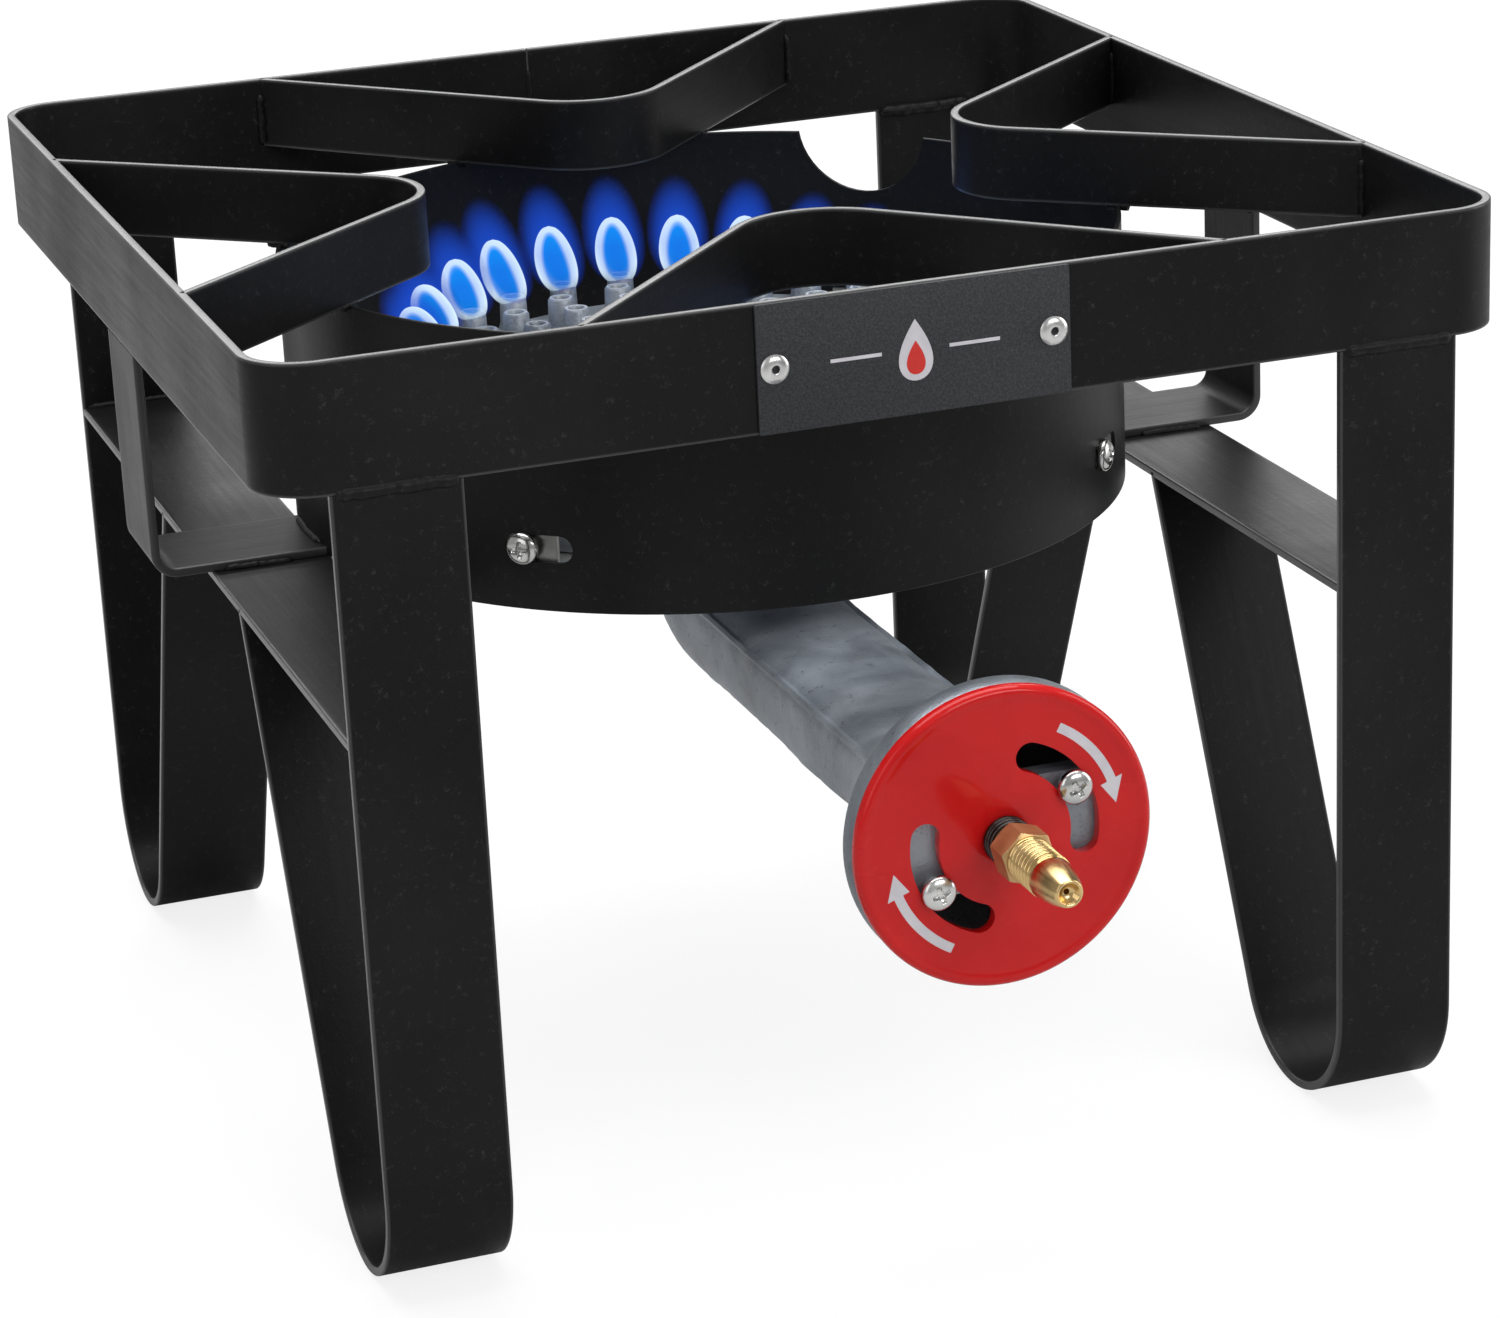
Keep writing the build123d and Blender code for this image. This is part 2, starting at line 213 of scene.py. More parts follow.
def makeBar(name, path, place, section):
    # sweeps the section along a flat path; place(u, v, w) turns it to the object's own axes
    verts, along = [], [0.0]
    last, ring = len(path), len(section)
    for i, point in enumerate(path):
        ahead = (path[min(i + 1, last - 1)] - path[min(i, last - 2)]).normalized()
        behind = (path[max(i, 1)] - path[max(i - 1, 0)]).normalized()
        middle = (ahead + behind).normalized()
        normal = Vector((-middle.y, middle.x)) / max(0.5, middle.dot(ahead))
        if i:
            along.append(along[-1] + (point - path[i - 1]).length)
        for across, wide, near in section:
            spot = point + normal * across
            verts.append(place(spot.x, spot.y, wide))
    girth = [0.0]
    for a, b in zip(section, section[1:] + section[:1]):
        girth.append(girth[-1] + math.hypot(b[0] - a[0], b[1] - a[1]))
    faces, spots = rowFaces(last, ring), []
    for near, far in zip(along, along[1:]):
        for low, high in zip(girth, girth[1:]):
            spots += [(near, low), (near, high), (far, high), (far, low)]
    for row in (0, last - 1):
        faces.append(tuple(range(row * ring, (row + 1) * ring)))
        spots += [(along[row] + across, wide) for across, wide, near in section]
    mesh = meshOf(name, verts, faces)
    uv = mesh.uv_layers.new(name="UVMap")
    for loop, spot in zip(uv.data, spots):
        loop.uv = spot
    edgeNear = mesh.attributes.new("edgeNear", "FLOAT", "POINT")
    edgeNear.data.foreach_set("value", [near for across, wide, near in section] * last)
    tidyMesh(mesh, 0.0)
    return newObject(name, mesh)


def turned(name, profile, steps, place, closedLoop=False):
    # turns a profile of (radius, height) round its axis; place(x, y, z) puts it
    rows = [[place(*polar(radius, a), height) for a in around(steps)] for radius, height in profile]
    return skinned(name, rows + rows[:1] if closedLoop else rows, capped=False)


def prism(name, outline, low, high, place):
    # a closed outline drawn out from low to high
    return skinned(name, [[place(x, y, level) for x, y in outline] for level in (low, high)])


def joined(name, things):
    # several pieces as one object
    work = bmesh.new()
    for thing in things:
        work.from_mesh(thing.data)
    mesh = bpy.data.meshes.new(name)
    work.to_mesh(mesh)
    work.free()
    for thing in things:
        bpy.data.objects.remove(thing)
    return newObject(name, mesh)


def asIs(x, y, z):
    return (x, y, z)


def standing(x, y, z):
    # straight up from the middle of the burner
    return (x, midY + y, z)


def facing(x, y, z):
    # on the tube's axis: x to the right, y up, z out of the front
    return (x, shutterFront - z, tubeZ + y)


# shader parts

def put(tree, kind, sockets=None, **settings):
    made = tree.nodes.new(kind)
    for key, value in settings.items():
        setattr(made, key, value)
    for key, value in (sockets or {}).items():
        target = made.inputs[key]
        if isinstance(value, bpy.types.NodeSocket):
            tree.links.new(value, target)
        else:
            target.default_value = value
    return made


def calc(tree, operation, *values):
    return put(tree, "ShaderNodeMath", dict(enumerate(values)), operation=operation).outputs[0]


socketKinds = {"Vector": "Vector", "Normal": "Vector", "Finish": "Material", "Part": "Object", "Seed": "Int",
               "Geometry": "Geometry"}


def newTree(kind, name, inputs, outputs):
    tree = bpy.data.node_groups.new(name, kind)
    for way, sockets in (("INPUT", inputs), ("OUTPUT", dict.fromkeys(outputs))):
        for label, value in sockets.items():
            made = tree.interface.new_socket(name=label, in_out=way,
                                             socket_type="NodeSocket" + socketKinds.get(label, "Float"))
            if value is not None:
                made.default_value = value
    return tree, tree.nodes.new("NodeGroupInput").outputs, tree.nodes.new("NodeGroupOutput").inputs


def placeGroup(tree, group, sockets):
    return put(tree, "ShaderNodeGroup", sockets, node_tree=group)


def ramp(tree, value, stops):
    made = put(tree, "ShaderNodeValToRGB", {"Fac": value})
    while len(made.color_ramp.elements) < len(stops):
        made.color_ramp.elements.new(0.5)
    for element, (position, shade) in zip(made.color_ramp.elements, stops):
        element.position = position
        element.color = (shade, shade, shade, 1) if isinstance(shade, float) else (*shade, 1)
    return made.outputs["Color"]


def mapTo(tree, value, low, high, fromLow=0.0, fromHigh=1.0):
    made = put(tree, "ShaderNodeMapRange", {"Value": value, "From Min": fromLow, "From Max": fromHigh,
                                            "To Min": low, "To Max": high})
    return made.outputs["Result"]


def buildGrain():
    # fine and coarse unevenness of a sprayed or cast skin
    tree, entry, out = newTree("ShaderNodeTree", "surfaceGrain", {
        "Vector": None, "Fine size": 900.0, "Coarse size": 120.0, "Fine share": 0.5, "Strength": 0.2,
        "Depth": 0.0002}, ["Value", "Normal"])
    fine = put(tree, "ShaderNodeTexNoise", {"Vector": entry["Vector"], "Scale": entry["Fine size"],
                                            "Detail": 3.0, "Roughness": 0.6})
    coarse = put(tree, "ShaderNodeTexNoise", {"Vector": entry["Vector"], "Scale": entry["Coarse size"],
                                              "Detail": 3.0})
    both = put(tree, "ShaderNodeMix", {"Factor": entry["Fine share"], "A": coarse.outputs["Fac"],
                                       "B": fine.outputs["Fac"]}).outputs["Result"]
    bump = put(tree, "ShaderNodeBump", {"Strength": entry["Strength"], "Distance": entry["Depth"],
                                        "Height": both})
    tree.links.new(both, out["Value"])
    tree.links.new(bump.outputs["Normal"], out["Normal"])
    return tree


def buildPatches():
    # large soft patches for handling marks, dust and thin or thick paint
    tree, entry, out = newTree("ShaderNodeTree", "softPatches", {
        "Vector": None, "Size": 9.0, "Low": 0.0, "High": 1.0}, ["Value"])
    cloud = put(tree, "ShaderNodeTexNoise", {"Vector": entry["Vector"], "Scale": entry["Size"],
                                             "Detail": 5.0, "Roughness": 0.55, "Distortion": 0.4})
    tree.links.new(mapTo(tree, cloud.outputs["Fac"], entry["Low"], entry["High"], 0.3, 0.7), out["Value"])
    return tree


def buildStreaks():
    # fine lines that follow the bar, from its own UV map
    tree, entry, out = newTree("ShaderNodeTree", "rollStreaks", {"Along": 12.0, "Across": 900.0}, ["Value"])
    uv = put(tree, "ShaderNodeUVMap", uv_map="UVMap")
    apart = put(tree, "ShaderNodeSeparateXYZ", {"Vector": uv.outputs["UV"]}).outputs
    both = put(tree, "ShaderNodeCombineXYZ", {"X": calc(tree, "MULTIPLY", apart["X"], entry["Along"]),
                                              "Y": calc(tree, "MULTIPLY", apart["Y"], entry["Across"])})
    lines = put(tree, "ShaderNodeTexNoise", {"Vector": both.outputs["Vector"], "Scale": 1.0, "Detail": 4.0,
                                             "Roughness": 0.7})
    tree.links.new(lines.outputs["Fac"], out["Value"])
    return tree


grainGroup = buildGrain()
patchGroup = buildPatches()
streakGroup = buildStreaks()


def newFinish(name, **constants):
    finish = bpy.data.materials.new(name)
    finish.use_nodes = True
    tree = finish.node_tree
    shader = tree.nodes["Principled BSDF"]
    for key, value in constants.items():
        shader.inputs[key.replace("_", " ")].default_value = value
    return finish, tree, shader, put(tree, "ShaderNodeTexCoord").outputs["Object"]


def grainOn(tree, where, fine, coarse, share, strength, depth):
    skin = placeGroup(tree, grainGroup, {"Vector": where, "Fine size": fine, "Coarse size": coarse,
                                         "Fine share": share, "Strength": strength, "Depth": depth})
    return skin.outputs["Value"], skin.outputs["Normal"]


def patchOn(tree, where, size):
    return placeGroup(tree, patchGroup, {"Vector": where, "Size": size}).outputs["Value"]


def feed(tree, shader, **values):
    for key, value in values.items():
        tree.links.new(value, shader.inputs[key.replace("_", " ")])


def mixColour(tree, share, first, second, kind="MIX"):
    made = put(tree, "ShaderNodeMix", data_type="RGBA", blend_type=kind)
    for slotIndex, value in ((0, share), (6, first), (7, second)):
        if isinstance(value, bpy.types.NodeSocket):
            tree.links.new(value, made.inputs[slotIndex])
        else:
            made.inputs[slotIndex].default_value = value if slotIndex == 0 else (*value, 1)
    return made.outputs[2]


# edge: a lighter grey, used for the powder flecks and for the painted highlight along the bar edges
powderLook = {"base": (0.0050, 0.0050, 0.0053), "light": (0.0110, 0.0109, 0.0111),
              "edge": (0.075, 0.075, 0.077), "roughLow": 0.34, "roughHigh": 0.46, "grain": 0.3,
              "edgeGloss": 1.0}


def powderFinish(name, streaky, grain=powderLook["grain"]):
    finish, tree, shader, where = newFinish(name, Specular_IOR_Level=0.14)
    skin, normal = grainOn(tree, where, 1500.0, 330.0, 0.45, grain, 0.00035)
    patch = patchOn(tree, where, 11.0)
    colour = mixColour(tree, patch, powderLook["base"], powderLook["light"])
    speck = ramp(tree, skin, ((0.58, 0.0), (0.7, 1.0)))
    colour = mixColour(tree, mapTo(tree, speck, 0.0, 0.35), colour, powderLook["edge"])
    rough = mapTo(tree, patch, powderLook["roughLow"], powderLook["roughHigh"])
    if streaky:
        lines = placeGroup(tree, streakGroup, {"Along": 14.0, "Across": 420.0})
        rough = calc(tree, "ADD", rough, mapTo(tree, lines.outputs["Value"], -0.045, 0.045, 0.3, 0.7))
        # painted highlight: near the bar edges the colour is lightened towards the edge grey, standing in for
        # light catching the edges; the same mask makes the coat glossier there
        near = put(tree, "ShaderNodeAttribute", attribute_name="edgeNear")
        edgeHighlightAndGloss = mapTo(tree, near.outputs["Fac"], 0.0, 0.45, 0.6, 1.0)
        colour = mixColour(tree, edgeHighlightAndGloss, colour, powderLook["edge"])
        shader.inputs["Coat Roughness"].default_value = 0.22
        feed(tree, shader, Coat_Weight=mapTo(tree, edgeHighlightAndGloss, 0.0, powderLook["edgeGloss"]))
    feed(tree, shader, Base_Color=colour, Roughness=rough, Normal=normal)
    return finish


blackBar = powderFinish("blackPowderBar", True)
blackSheet = powderFinish("blackPowderSheet", False)
blackWeld = powderFinish("blackPowderWeld", False, 0.5)


def plateFinish():
    finish, tree, shader, where = newFinish("charcoalPlate", Specular_IOR_Level=0.45)
    skin, normal = grainOn(tree, where, 2600.0, 1100.0, 0.5, 0.7, 0.0003)
    speck = ramp(tree, skin, ((0.42, 0.0), (0.62, 1.0)))
    feed(tree, shader, Base_Color=mixColour(tree, speck, (0.009, 0.010, 0.012), (0.035, 0.037, 0.042)),
         Roughness=mapTo(tree, patchOn(tree, where, 20.0), 0.55, 0.66), Normal=normal)
    return finish


def zincFinish(name="zincPlate", dark=(0.42, 0.42, 0.41), light=(0.74, 0.74, 0.72), rough=(0.12, 0.28)):
    finish, tree, shader, where = newFinish(name, Metallic=1.0)
    normal = grainOn(tree, where, 1400.0, 260.0, 0.4, 0.12, 0.0002)[1]
    patch = patchOn(tree, where, 60.0)
    feed(tree, shader, Base_Color=mixColour(tree, patch, dark, light), Roughness=mapTo(tree, patch, *rough),
         Normal=normal)
    return finish


def castFinish():
    finish, tree, shader, where = newFinish("silverCast", Specular_IOR_Level=0.5)
    skin, normal = grainOn(tree, where, 950.0, 190.0, 0.5, 0.55, 0.0009)
    patch = patchOn(tree, where, 26.0)
    colour = mixColour(tree, patch, (0.16, 0.18, 0.205), (0.40, 0.435, 0.48))
    flake = put(tree, "ShaderNodeTexVoronoi", {"Vector": where, "Scale": 1900.0})
    glint = ramp(tree, flake.outputs["Distance"], ((0.0, 1.0), (0.22, 0.0)))
    colour = mixColour(tree, mapTo(tree, glint, 0.0, 0.5), colour, (0.62, 0.64, 0.66))
    pit = ramp(tree, skin, ((0.34, 1.0), (0.42, 0.0)))
    colour = mixColour(tree, mapTo(tree, pit, 0.0, 0.6), colour, (0.05, 0.052, 0.055))
    feed(tree, shader, Base_Color=colour, Metallic=mapTo(tree, glint, 0.55, 0.8),
         Roughness=mapTo(tree, patch, 0.33, 0.48), Normal=normal)
    return finish


def redFinish():
    finish, tree, shader, where = newFinish("glossRed", Specular_IOR_Level=0.12, Coat_Roughness=0.05,
                                            Coat_IOR=1.30)
    normal = grainOn(tree, where, 260.0, 70.0, 0.3, 0.05, 0.0004)[1]
    patch = patchOn(tree, where, 22.0)
    feed(tree, shader, Base_Color=mixColour(tree, patch, (0.50, 0.006, 0.007), (0.60, 0.010, 0.010)),
         Roughness=mapTo(tree, patch, 0.22, 0.32), Coat_Weight=mapTo(tree, patch, 0.7, 0.85), Normal=normal)
    return finish


def brassFinish(name, dark, light, rough, metal=1.0):
    finish, tree, shader, where = newFinish(name, Metallic=metal)
    turning = put(tree, "ShaderNodeTexWave", {"Vector": where, "Scale": 1400.0, "Distortion": 1.2,
                                              "Detail": 2.0}, wave_type="BANDS", bands_direction="Y")
    patch = patchOn(tree, where, 90.0)
    bump = put(tree, "ShaderNodeBump", {"Strength": 0.06, "Distance": 0.0001, "Height": turning.outputs["Fac"]})
    feed(tree, shader, Base_Color=mixColour(tree, patch, dark, light), Roughness=mapTo(tree, patch, *rough),
         Normal=bump.outputs["Normal"])
    return finish


def paintFinish(name, low, high):
    finish, tree, shader, where = newFinish(name, Specular_IOR_Level=0.4)
    patch = patchOn(tree, where, 160.0)
    feed(tree, shader, Base_Color=mixColour(tree, patch, low, high), Roughness=mapTo(tree, patch, 0.4, 0.55))
    return finish


charcoal = plateFinish()
zinc = zincFinish()
rivetMetal = zincFinish("rivetMetal", (0.5, 0.5, 0.5), (0.78, 0.78, 0.77), (0.2, 0.34))
hangerZinc = zincFinish("hangerZinc", (0.22, 0.22, 0.21), (0.42, 0.42, 0.40), (0.3, 0.45))
castSilver = castFinish()
glossRed = redFinish()
brassBright = brassFinish("brassThread", (0.58, 0.39, 0.16), (0.84, 0.61, 0.29), (0.16, 0.28))
brassDull = brassFinish("brassHex", (0.44, 0.27, 0.12), (0.66, 0.44, 0.21), (0.3, 0.46), 0.72)
springBlack = zincFinish("springSteel", (0.035, 0.035, 0.035), (0.09, 0.087, 0.083), (0.2, 0.34))
markWhite = paintFinish("markWhite", (0.56, 0.54, 0.58), (0.64, 0.62, 0.66))
markRed = paintFinish("markRed", (0.55, 0.02, 0.015), (0.62, 0.03, 0.02))
print("finishes made")


# geometry node trees

def closeShapeTree(tree, shape, finish, out):
    real = put(tree, "GeometryNodeRealizeInstances", {"Geometry": shape})
    dressed = put(tree, "GeometryNodeSetMaterial", {"Geometry": real.outputs["Geometry"], "Material": finish})
    tree.links.new(dressed.outputs["Geometry"], out["Geometry"])
    return tree


def buildHardwareTree():
    # puts one part on every spot, its axis along the spot's own direction
    tree, entry, out = newTree("GeometryNodeTree", "hardwareOnSpots", {
        "Geometry": None, "Part": None, "Size": 1.0, "Spin": 0.0, "Seed": 3, "Finish": None}, ["Geometry"])
    aim = put(tree, "GeometryNodeInputNamedAttribute", {"Name": "aim"}, data_type="FLOAT_VECTOR")
    lined = put(tree, "FunctionNodeAlignRotationToVector", {"Vector": aim.outputs["Attribute"]}, axis="Z")
    spin = put(tree, "FunctionNodeRandomValue", {"Seed": entry["Seed"]}, data_type="FLOAT")
    tree.links.new(calc(tree, "MULTIPLY", entry["Spin"], -1.0), spin.inputs[2])
    tree.links.new(entry["Spin"], spin.inputs[3])
    turn = put(tree, "FunctionNodeAxisAngleToRotation", {"Axis": (0, 0, 1), "Angle": spin.outputs[1]})
    both = put(tree, "FunctionNodeRotateRotation", {
        "Rotation": lined.outputs["Rotation"], "Rotate By": turn.outputs["Rotation"]}, rotation_space="LOCAL")
    part = put(tree, "GeometryNodeObjectInfo", {"Object": entry["Part"], "As Instance": True})
    placed = put(tree, "GeometryNodeInstanceOnPoints", {
        "Points": entry["Geometry"], "Instance": part.outputs["Geometry"], "Rotation": both.outputs["Rotation"],
        "Scale": entry["Size"]})
    return closeShapeTree(tree, placed.outputs["Instances"], entry["Finish"], out)


def buildWeldTree():
    # a rippled bead along a line, thin at both ends
    tree, entry, out = newTree("GeometryNodeTree", "weldBead", {
        "Geometry": None, "Bead": 0.0022, "Pitch": 0.0026, "Ripple": 0.04, "Wander": 0.0012, "Seed": 5,
        "Finish": None}, ["Geometry"])
    line = put(tree, "GeometryNodeMeshToCurve", {"Mesh": entry["Geometry"]})
    fine = put(tree, "GeometryNodeResampleCurve", {"Curve": line.outputs["Curve"], "Length": 0.6 * mm},
               mode="LENGTH")

    def vector(operation, sockets):
        return put(tree, "ShaderNodeVectorMath", sockets, operation=operation).outputs[0]

    place = put(tree, "GeometryNodeInputPosition").outputs[0]
    place = vector("ADD", {0: place, 1: calc(tree, "MULTIPLY", entry["Seed"], 0.37)})
    drift = put(tree, "ShaderNodeTexNoise", {"Vector": place, "Scale": 160.0, "Detail": 2.0}).outputs
    centred = vector("SUBTRACT", {0: drift["Color"], 1: (0.5, 0.5, 0.5)})
    loose = put(tree, "GeometryNodeSetPosition", {
        "Geometry": fine.outputs["Curve"], "Offset": vector("SCALE", {0: centred, "Scale": entry["Wander"]})})
    run = put(tree, "GeometryNodeSplineParameter").outputs
    wave = calc(tree, "MULTIPLY", calc(tree, "DIVIDE", run["Length"], entry["Pitch"]), 2 * math.pi)
    swell = calc(tree, "MULTIPLY_ADD", calc(tree, "SINE", wave), entry["Ripple"], 1.0)
    nearEnd = calc(tree, "MINIMUM", run["Factor"], calc(tree, "SUBTRACT", 1.0, run["Factor"]))
    rise = calc(tree, "MINIMUM", calc(tree, "MULTIPLY", nearEnd, 14.0), 1.0)
    taper = calc(tree, "MAXIMUM", calc(tree, "POWER", rise, 0.5), 0.15)
    size = calc(tree, "MULTIPLY", swell, taper)
    size = calc(tree, "MULTIPLY", size, calc(tree, "MULTIPLY_ADD", drift["Fac"], 0.7, 0.65))
    size = calc(tree, "MULTIPLY", size, entry["Bead"])
    profile = put(tree, "GeometryNodeCurvePrimitiveCircle", {"Resolution": 12, "Radius": 1.0})
    body = put(tree, "GeometryNodeCurveToMesh", {
        "Curve": loose.outputs["Geometry"], "Profile Curve": profile.outputs["Curve"], "Fill Caps": True,
        "Scale": size})
    return closeShapeTree(tree, body.outputs["Mesh"], entry["Finish"], out)


def runTree(thing, tree, values):
    work = thing.modifiers.new("shape", "NODES")
    work.node_group = tree
    for item in tree.interface.items_tree:
        if item.item_type == "SOCKET" and item.in_out == "INPUT" and item.name in values:
            work[item.identifier] = values[item.name]
    thing.update_tag()
    plainMesh(thing)
    tidyMesh(thing.data, 1e-7, False)
    return thing


hardwareTree = buildHardwareTree()
weldTree = buildWeldTree()


def onSpots(name, part, spots, slotName, nodes=(), angle=42, **values):
    # spots: (place, direction); values: the tree's named inputs
    mesh = meshOf(name, [tuple(place) for place, direction in spots], [])
    aim = mesh.attributes.new("aim", "FLOAT_VECTOR", "POINT")
    aim.data.foreach_set("vector", [c for place, direction in spots for c in Vector(direction).normalized()])
    thing = runTree(newObject(name, mesh), hardwareTree, {"Part": part, **values})
    bpy.data.objects.remove(part)
    handOver(thing, None, nodes, angle)


def weldLines(name, lines, **values):
    # lines: each one a list of points
    verts, edges = [], []
    for line in lines:
        start = len(verts)
        verts += [tuple(p) for p in line]
        edges += [(k, k + 1) for k in range(start, len(verts) - 1)]
    thing = newObject(name, meshOf(name, verts, [], edges))
    handOver(runTree(thing, weldTree, {"Finish": blackWeld, **values}), None, (), 60)


# camera, floor and light

cameraSpec = {"place": (-496.1, -1514.1, 694.6), "heading": 18.565, "dip": 19.393, "roll": -2.70,
              "lens": 104.08}


def makeCamera():
    heading, dip, roll = (math.radians(cameraSpec[k]) for k in ("heading", "dip", "roll"))
    look = Vector((math.cos(dip) * math.sin(heading), math.cos(dip) * math.cos(heading), -math.sin(dip)))
    level = Vector((math.cos(heading), -math.sin(heading), 0))
    above = level.cross(look)
    right = level * math.cos(roll) + above * math.sin(roll)
    up = above * math.cos(roll) - level * math.sin(roll)
    data = bpy.data.cameras.new("camera")
    data.lens = cameraSpec["lens"]
    data.sensor_width = 36.0
    data.sensor_fit = "HORIZONTAL"
    data.clip_start = 0.05
    thing = newObject("camera", data)
    x, y, z = cameraSpec["place"]
    turn = Matrix((right, up, -look)).transposed().to_4x4()
    thing.matrix_world = Matrix.Translation((x * mm, y * mm + midY, z * mm)) @ turn
    bpy.context.scene.camera = thing


floorSpec = {"size": 90, "greys": ((0.50, 0.50, 0.50), (0.52, 0.52, 0.52)), "share": 0.68, "glow": 1.22}


def makeFloor():
    bpy.ops.mesh.primitive_plane_add(size=floorSpec["size"], location=(0, 0, 0))
    floor = bpy.context.object
    floor.name = "floor"
    finish, tree, shader, where = newFinish("paleFloor", Roughness=0.8, Specular_IOR_Level=0.1)
    feed(tree, shader, Base_Color=mixColour(tree, patchOn(tree, where, 2.0), *floorSpec["greys"]))
    # a little light of its own keeps the shadows pale, as on a studio table lit from below
    path = put(tree, "ShaderNodeLightPath")
    share = calc(tree, "MULTIPLY", path.outputs["Is Camera Ray"], floorSpec["share"])
    glow = put(tree, "ShaderNodeEmission", {"Color": (1, 1, 1, 1), "Strength": floorSpec["glow"]})
    both = put(tree, "ShaderNodeMixShader", {0: share, 1: shader.outputs[0], 2: glow.outputs[0]})
    tree.links.new(both.outputs[0], tree.nodes["Material Output"].inputs["Surface"])
    floor.data.materials.append(finish)


lightSpec = {
    "top": {"place": (0.0, 0.35, 2.4), "size": (2.6, 2.0), "power": 70},
    "frontLeft": {"place": (-2.1, -1.3, 1.2), "size": (1.2, 1.8), "power": 8},
    "right": {"place": (2.2, -0.5, 0.9), "size": (1.0, 1.7), "power": 15},
    "front": {"place": (0.7, -2.3, 1.6), "size": (1.6, 0.9), "power": 22},
    "back": {"place": (0.5, 2.6, 1.5), "size": (3.0, 1.1), "power": 34},
}


def makeLights():
    for name, spec in lightSpec.items():
        data = bpy.data.lights.new(name, "AREA")
        data.shape = "RECTANGLE"
        data.size, data.size_y = spec["size"]
        data.energy = spec["power"]
        thing = newObject(name, data)
        thing.location = spec["place"]
        aim = Vector((0, 0.05, 0.2)) - Vector(spec["place"])
        thing.rotation_euler = aim.to_track_quat("-Z", "Y").to_euler()
    world = bpy.data.worlds.new("studio")
    world.use_nodes = True
    tree = world.node_tree
    tree.nodes["Background"].inputs["Strength"].default_value = 0.36
    tree.nodes["Background"].inputs["Color"].default_value = (1.0, 1.0, 1.0, 1)
    bpy.context.scene.world = world
    bpy.context.scene.view_settings.view_transform = "Standard"


makeCamera()
makeFloor()
makeLights()
print("camera, floor and lights made")


# frame bars

barSpec = {"thick": 3.2 * mm, "edge": 0.55 * mm, "ringCorner": 22.0 * mm}
barThick = barSpec["thick"]
barWidth = ringTop - ringBottom
ringMid = halfRing - barThick / 2
barCut = barSection(barThick, barWidth, barSpec["edge"])
quarters = [(round(math.cos(a)), round(math.sin(a))) for a in around(4)]


def makeRing():
    half = ringMid
    bend = barSpec["ringCorner"] - barThick / 2
    seam = 0.35 * mm  # gap between the two ends, at the middle of the back
    corners = [(-seam, half), (-half, half), (-half, -half), (half, -half), (half, half), (seam, half)]
    path = bendPath(corners, bend, 4.0)
    middleZ = (ringTop + ringBottom) / 2
    ring = makeBar("topRing", path, lambda u, v, w: (u, midY + v, middleZ + w), barCut)
    handOver(ring, blackBar, ["top_ring"])


supportSpec = {"end": 112.7 * mm, "apex": 90.8 * mm, "bend": 32.0 * mm, "bury": 1.5 * mm}


def makeSupports():
    low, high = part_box("pot_support_front")
    tall, apex = high.z - low.z, supportSpec["apex"]
    inner, past = halfRing - barThick, supportSpec["bury"]
    lean = (inner - apex) / supportSpec["end"]
    endX, endY = supportSpec["end"] + past / lean, -inner - past
    path = bendPath([(-endX, endY), (0, -apex), (endX, endY)], supportSpec["bend"], 4.0)
    section = barSection(barThick, tall, barSpec["edge"])
    for name, (c, s) in zip(("Front", "Right", "Back", "Left"), quarters):
        bar = makeBar("potSupport" + name, path,
                      lambda u, v, w: (c * u - s * v, midY + s * u + c * v, high.z - tall / 2 + w), section)
        handOver(bar, blackBar, ["pot_support_" + name.lower()])


legSpec = {"footBend": 40.0 * mm, "inset": 63.0 * mm}


def makeLegs():
    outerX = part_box("leg_front_right")[1].x
    middleX = outerX - barWidth / 2
    radius = legSpec["footBend"]
    under = braceLow.z
    centre = Vector((-halfRing + radius, radius))
    top = Vector((-legSpec["inset"], under))
    reach = top - centre
    slant = math.atan2(reach.y, reach.x) + math.asin(radius / reach.length)
    along = Vector((math.cos(slant), math.sin(slant)))
    inward = Vector((-along.y, along.x))
    top = top + inward * barThick / 2
    upright = -ringMid
    corner = Vector((upright, top.y - (top.x - upright) * math.tan(slant)))
    top = top + along * (1.0 * mm / math.sin(slant))
    path = bendPath([(upright, ringBottom), tuple(corner), tuple(top)], radius - barThick / 2, 4.0)
    for nameY, sideY in (("Front", 1), ("Back", -1)):
        for nameX, sideX in (("Left", -1), ("Right", 1)):
            leg = makeBar("leg" + nameY + nameX, path,
                          lambda u, v, w: (sideX * (middleX + w), midY + sideY * u, v), barCut)
            handOver(leg, blackBar, [f"leg_{nameY}_{nameX}".lower()])


strapSpec = {"bend": 8.0 * mm}


def makeBracesAndStraps():
    middleX = (braceLow.x + braceHigh.x) / 2
    shieldRadius = shieldHigh.x
    flat = braceHigh.z + barThick / 2
    inner = shieldRadius - 1.4 * mm
    for name, side in (("Left", -1), ("Right", 1)):
        ends = (braceLow.y - midY - 0.6 * mm, braceHigh.y - midY + 0.6 * mm)
        path = bendPath([(ends[0], 0), (ends[1], 0)], 1)
        height = (braceLow.z + braceHigh.z) / 2
        brace = makeBar("sideBrace" + name, path,
                        lambda u, v, w: (side * (middleX + w), midY + u, height + v), barCut)
        handOver(brace, blackBar, ["side_brace_" + name.lower()])
        path = bendPath([(ringMid, ringBottom), (ringMid, flat), (inner, flat)], strapSpec["bend"], 5.0)
        strap = makeBar("shieldStrap" + name, path, lambda u, v, w: (side * u, midY + w, v), barCut)
        handOver(strap, blackBar, ["shield_strap_" + name.lower()])


makeRing()
makeSupports()
makeLegs()
makeBracesAndStraps()
print("bars bent")


# wind shield

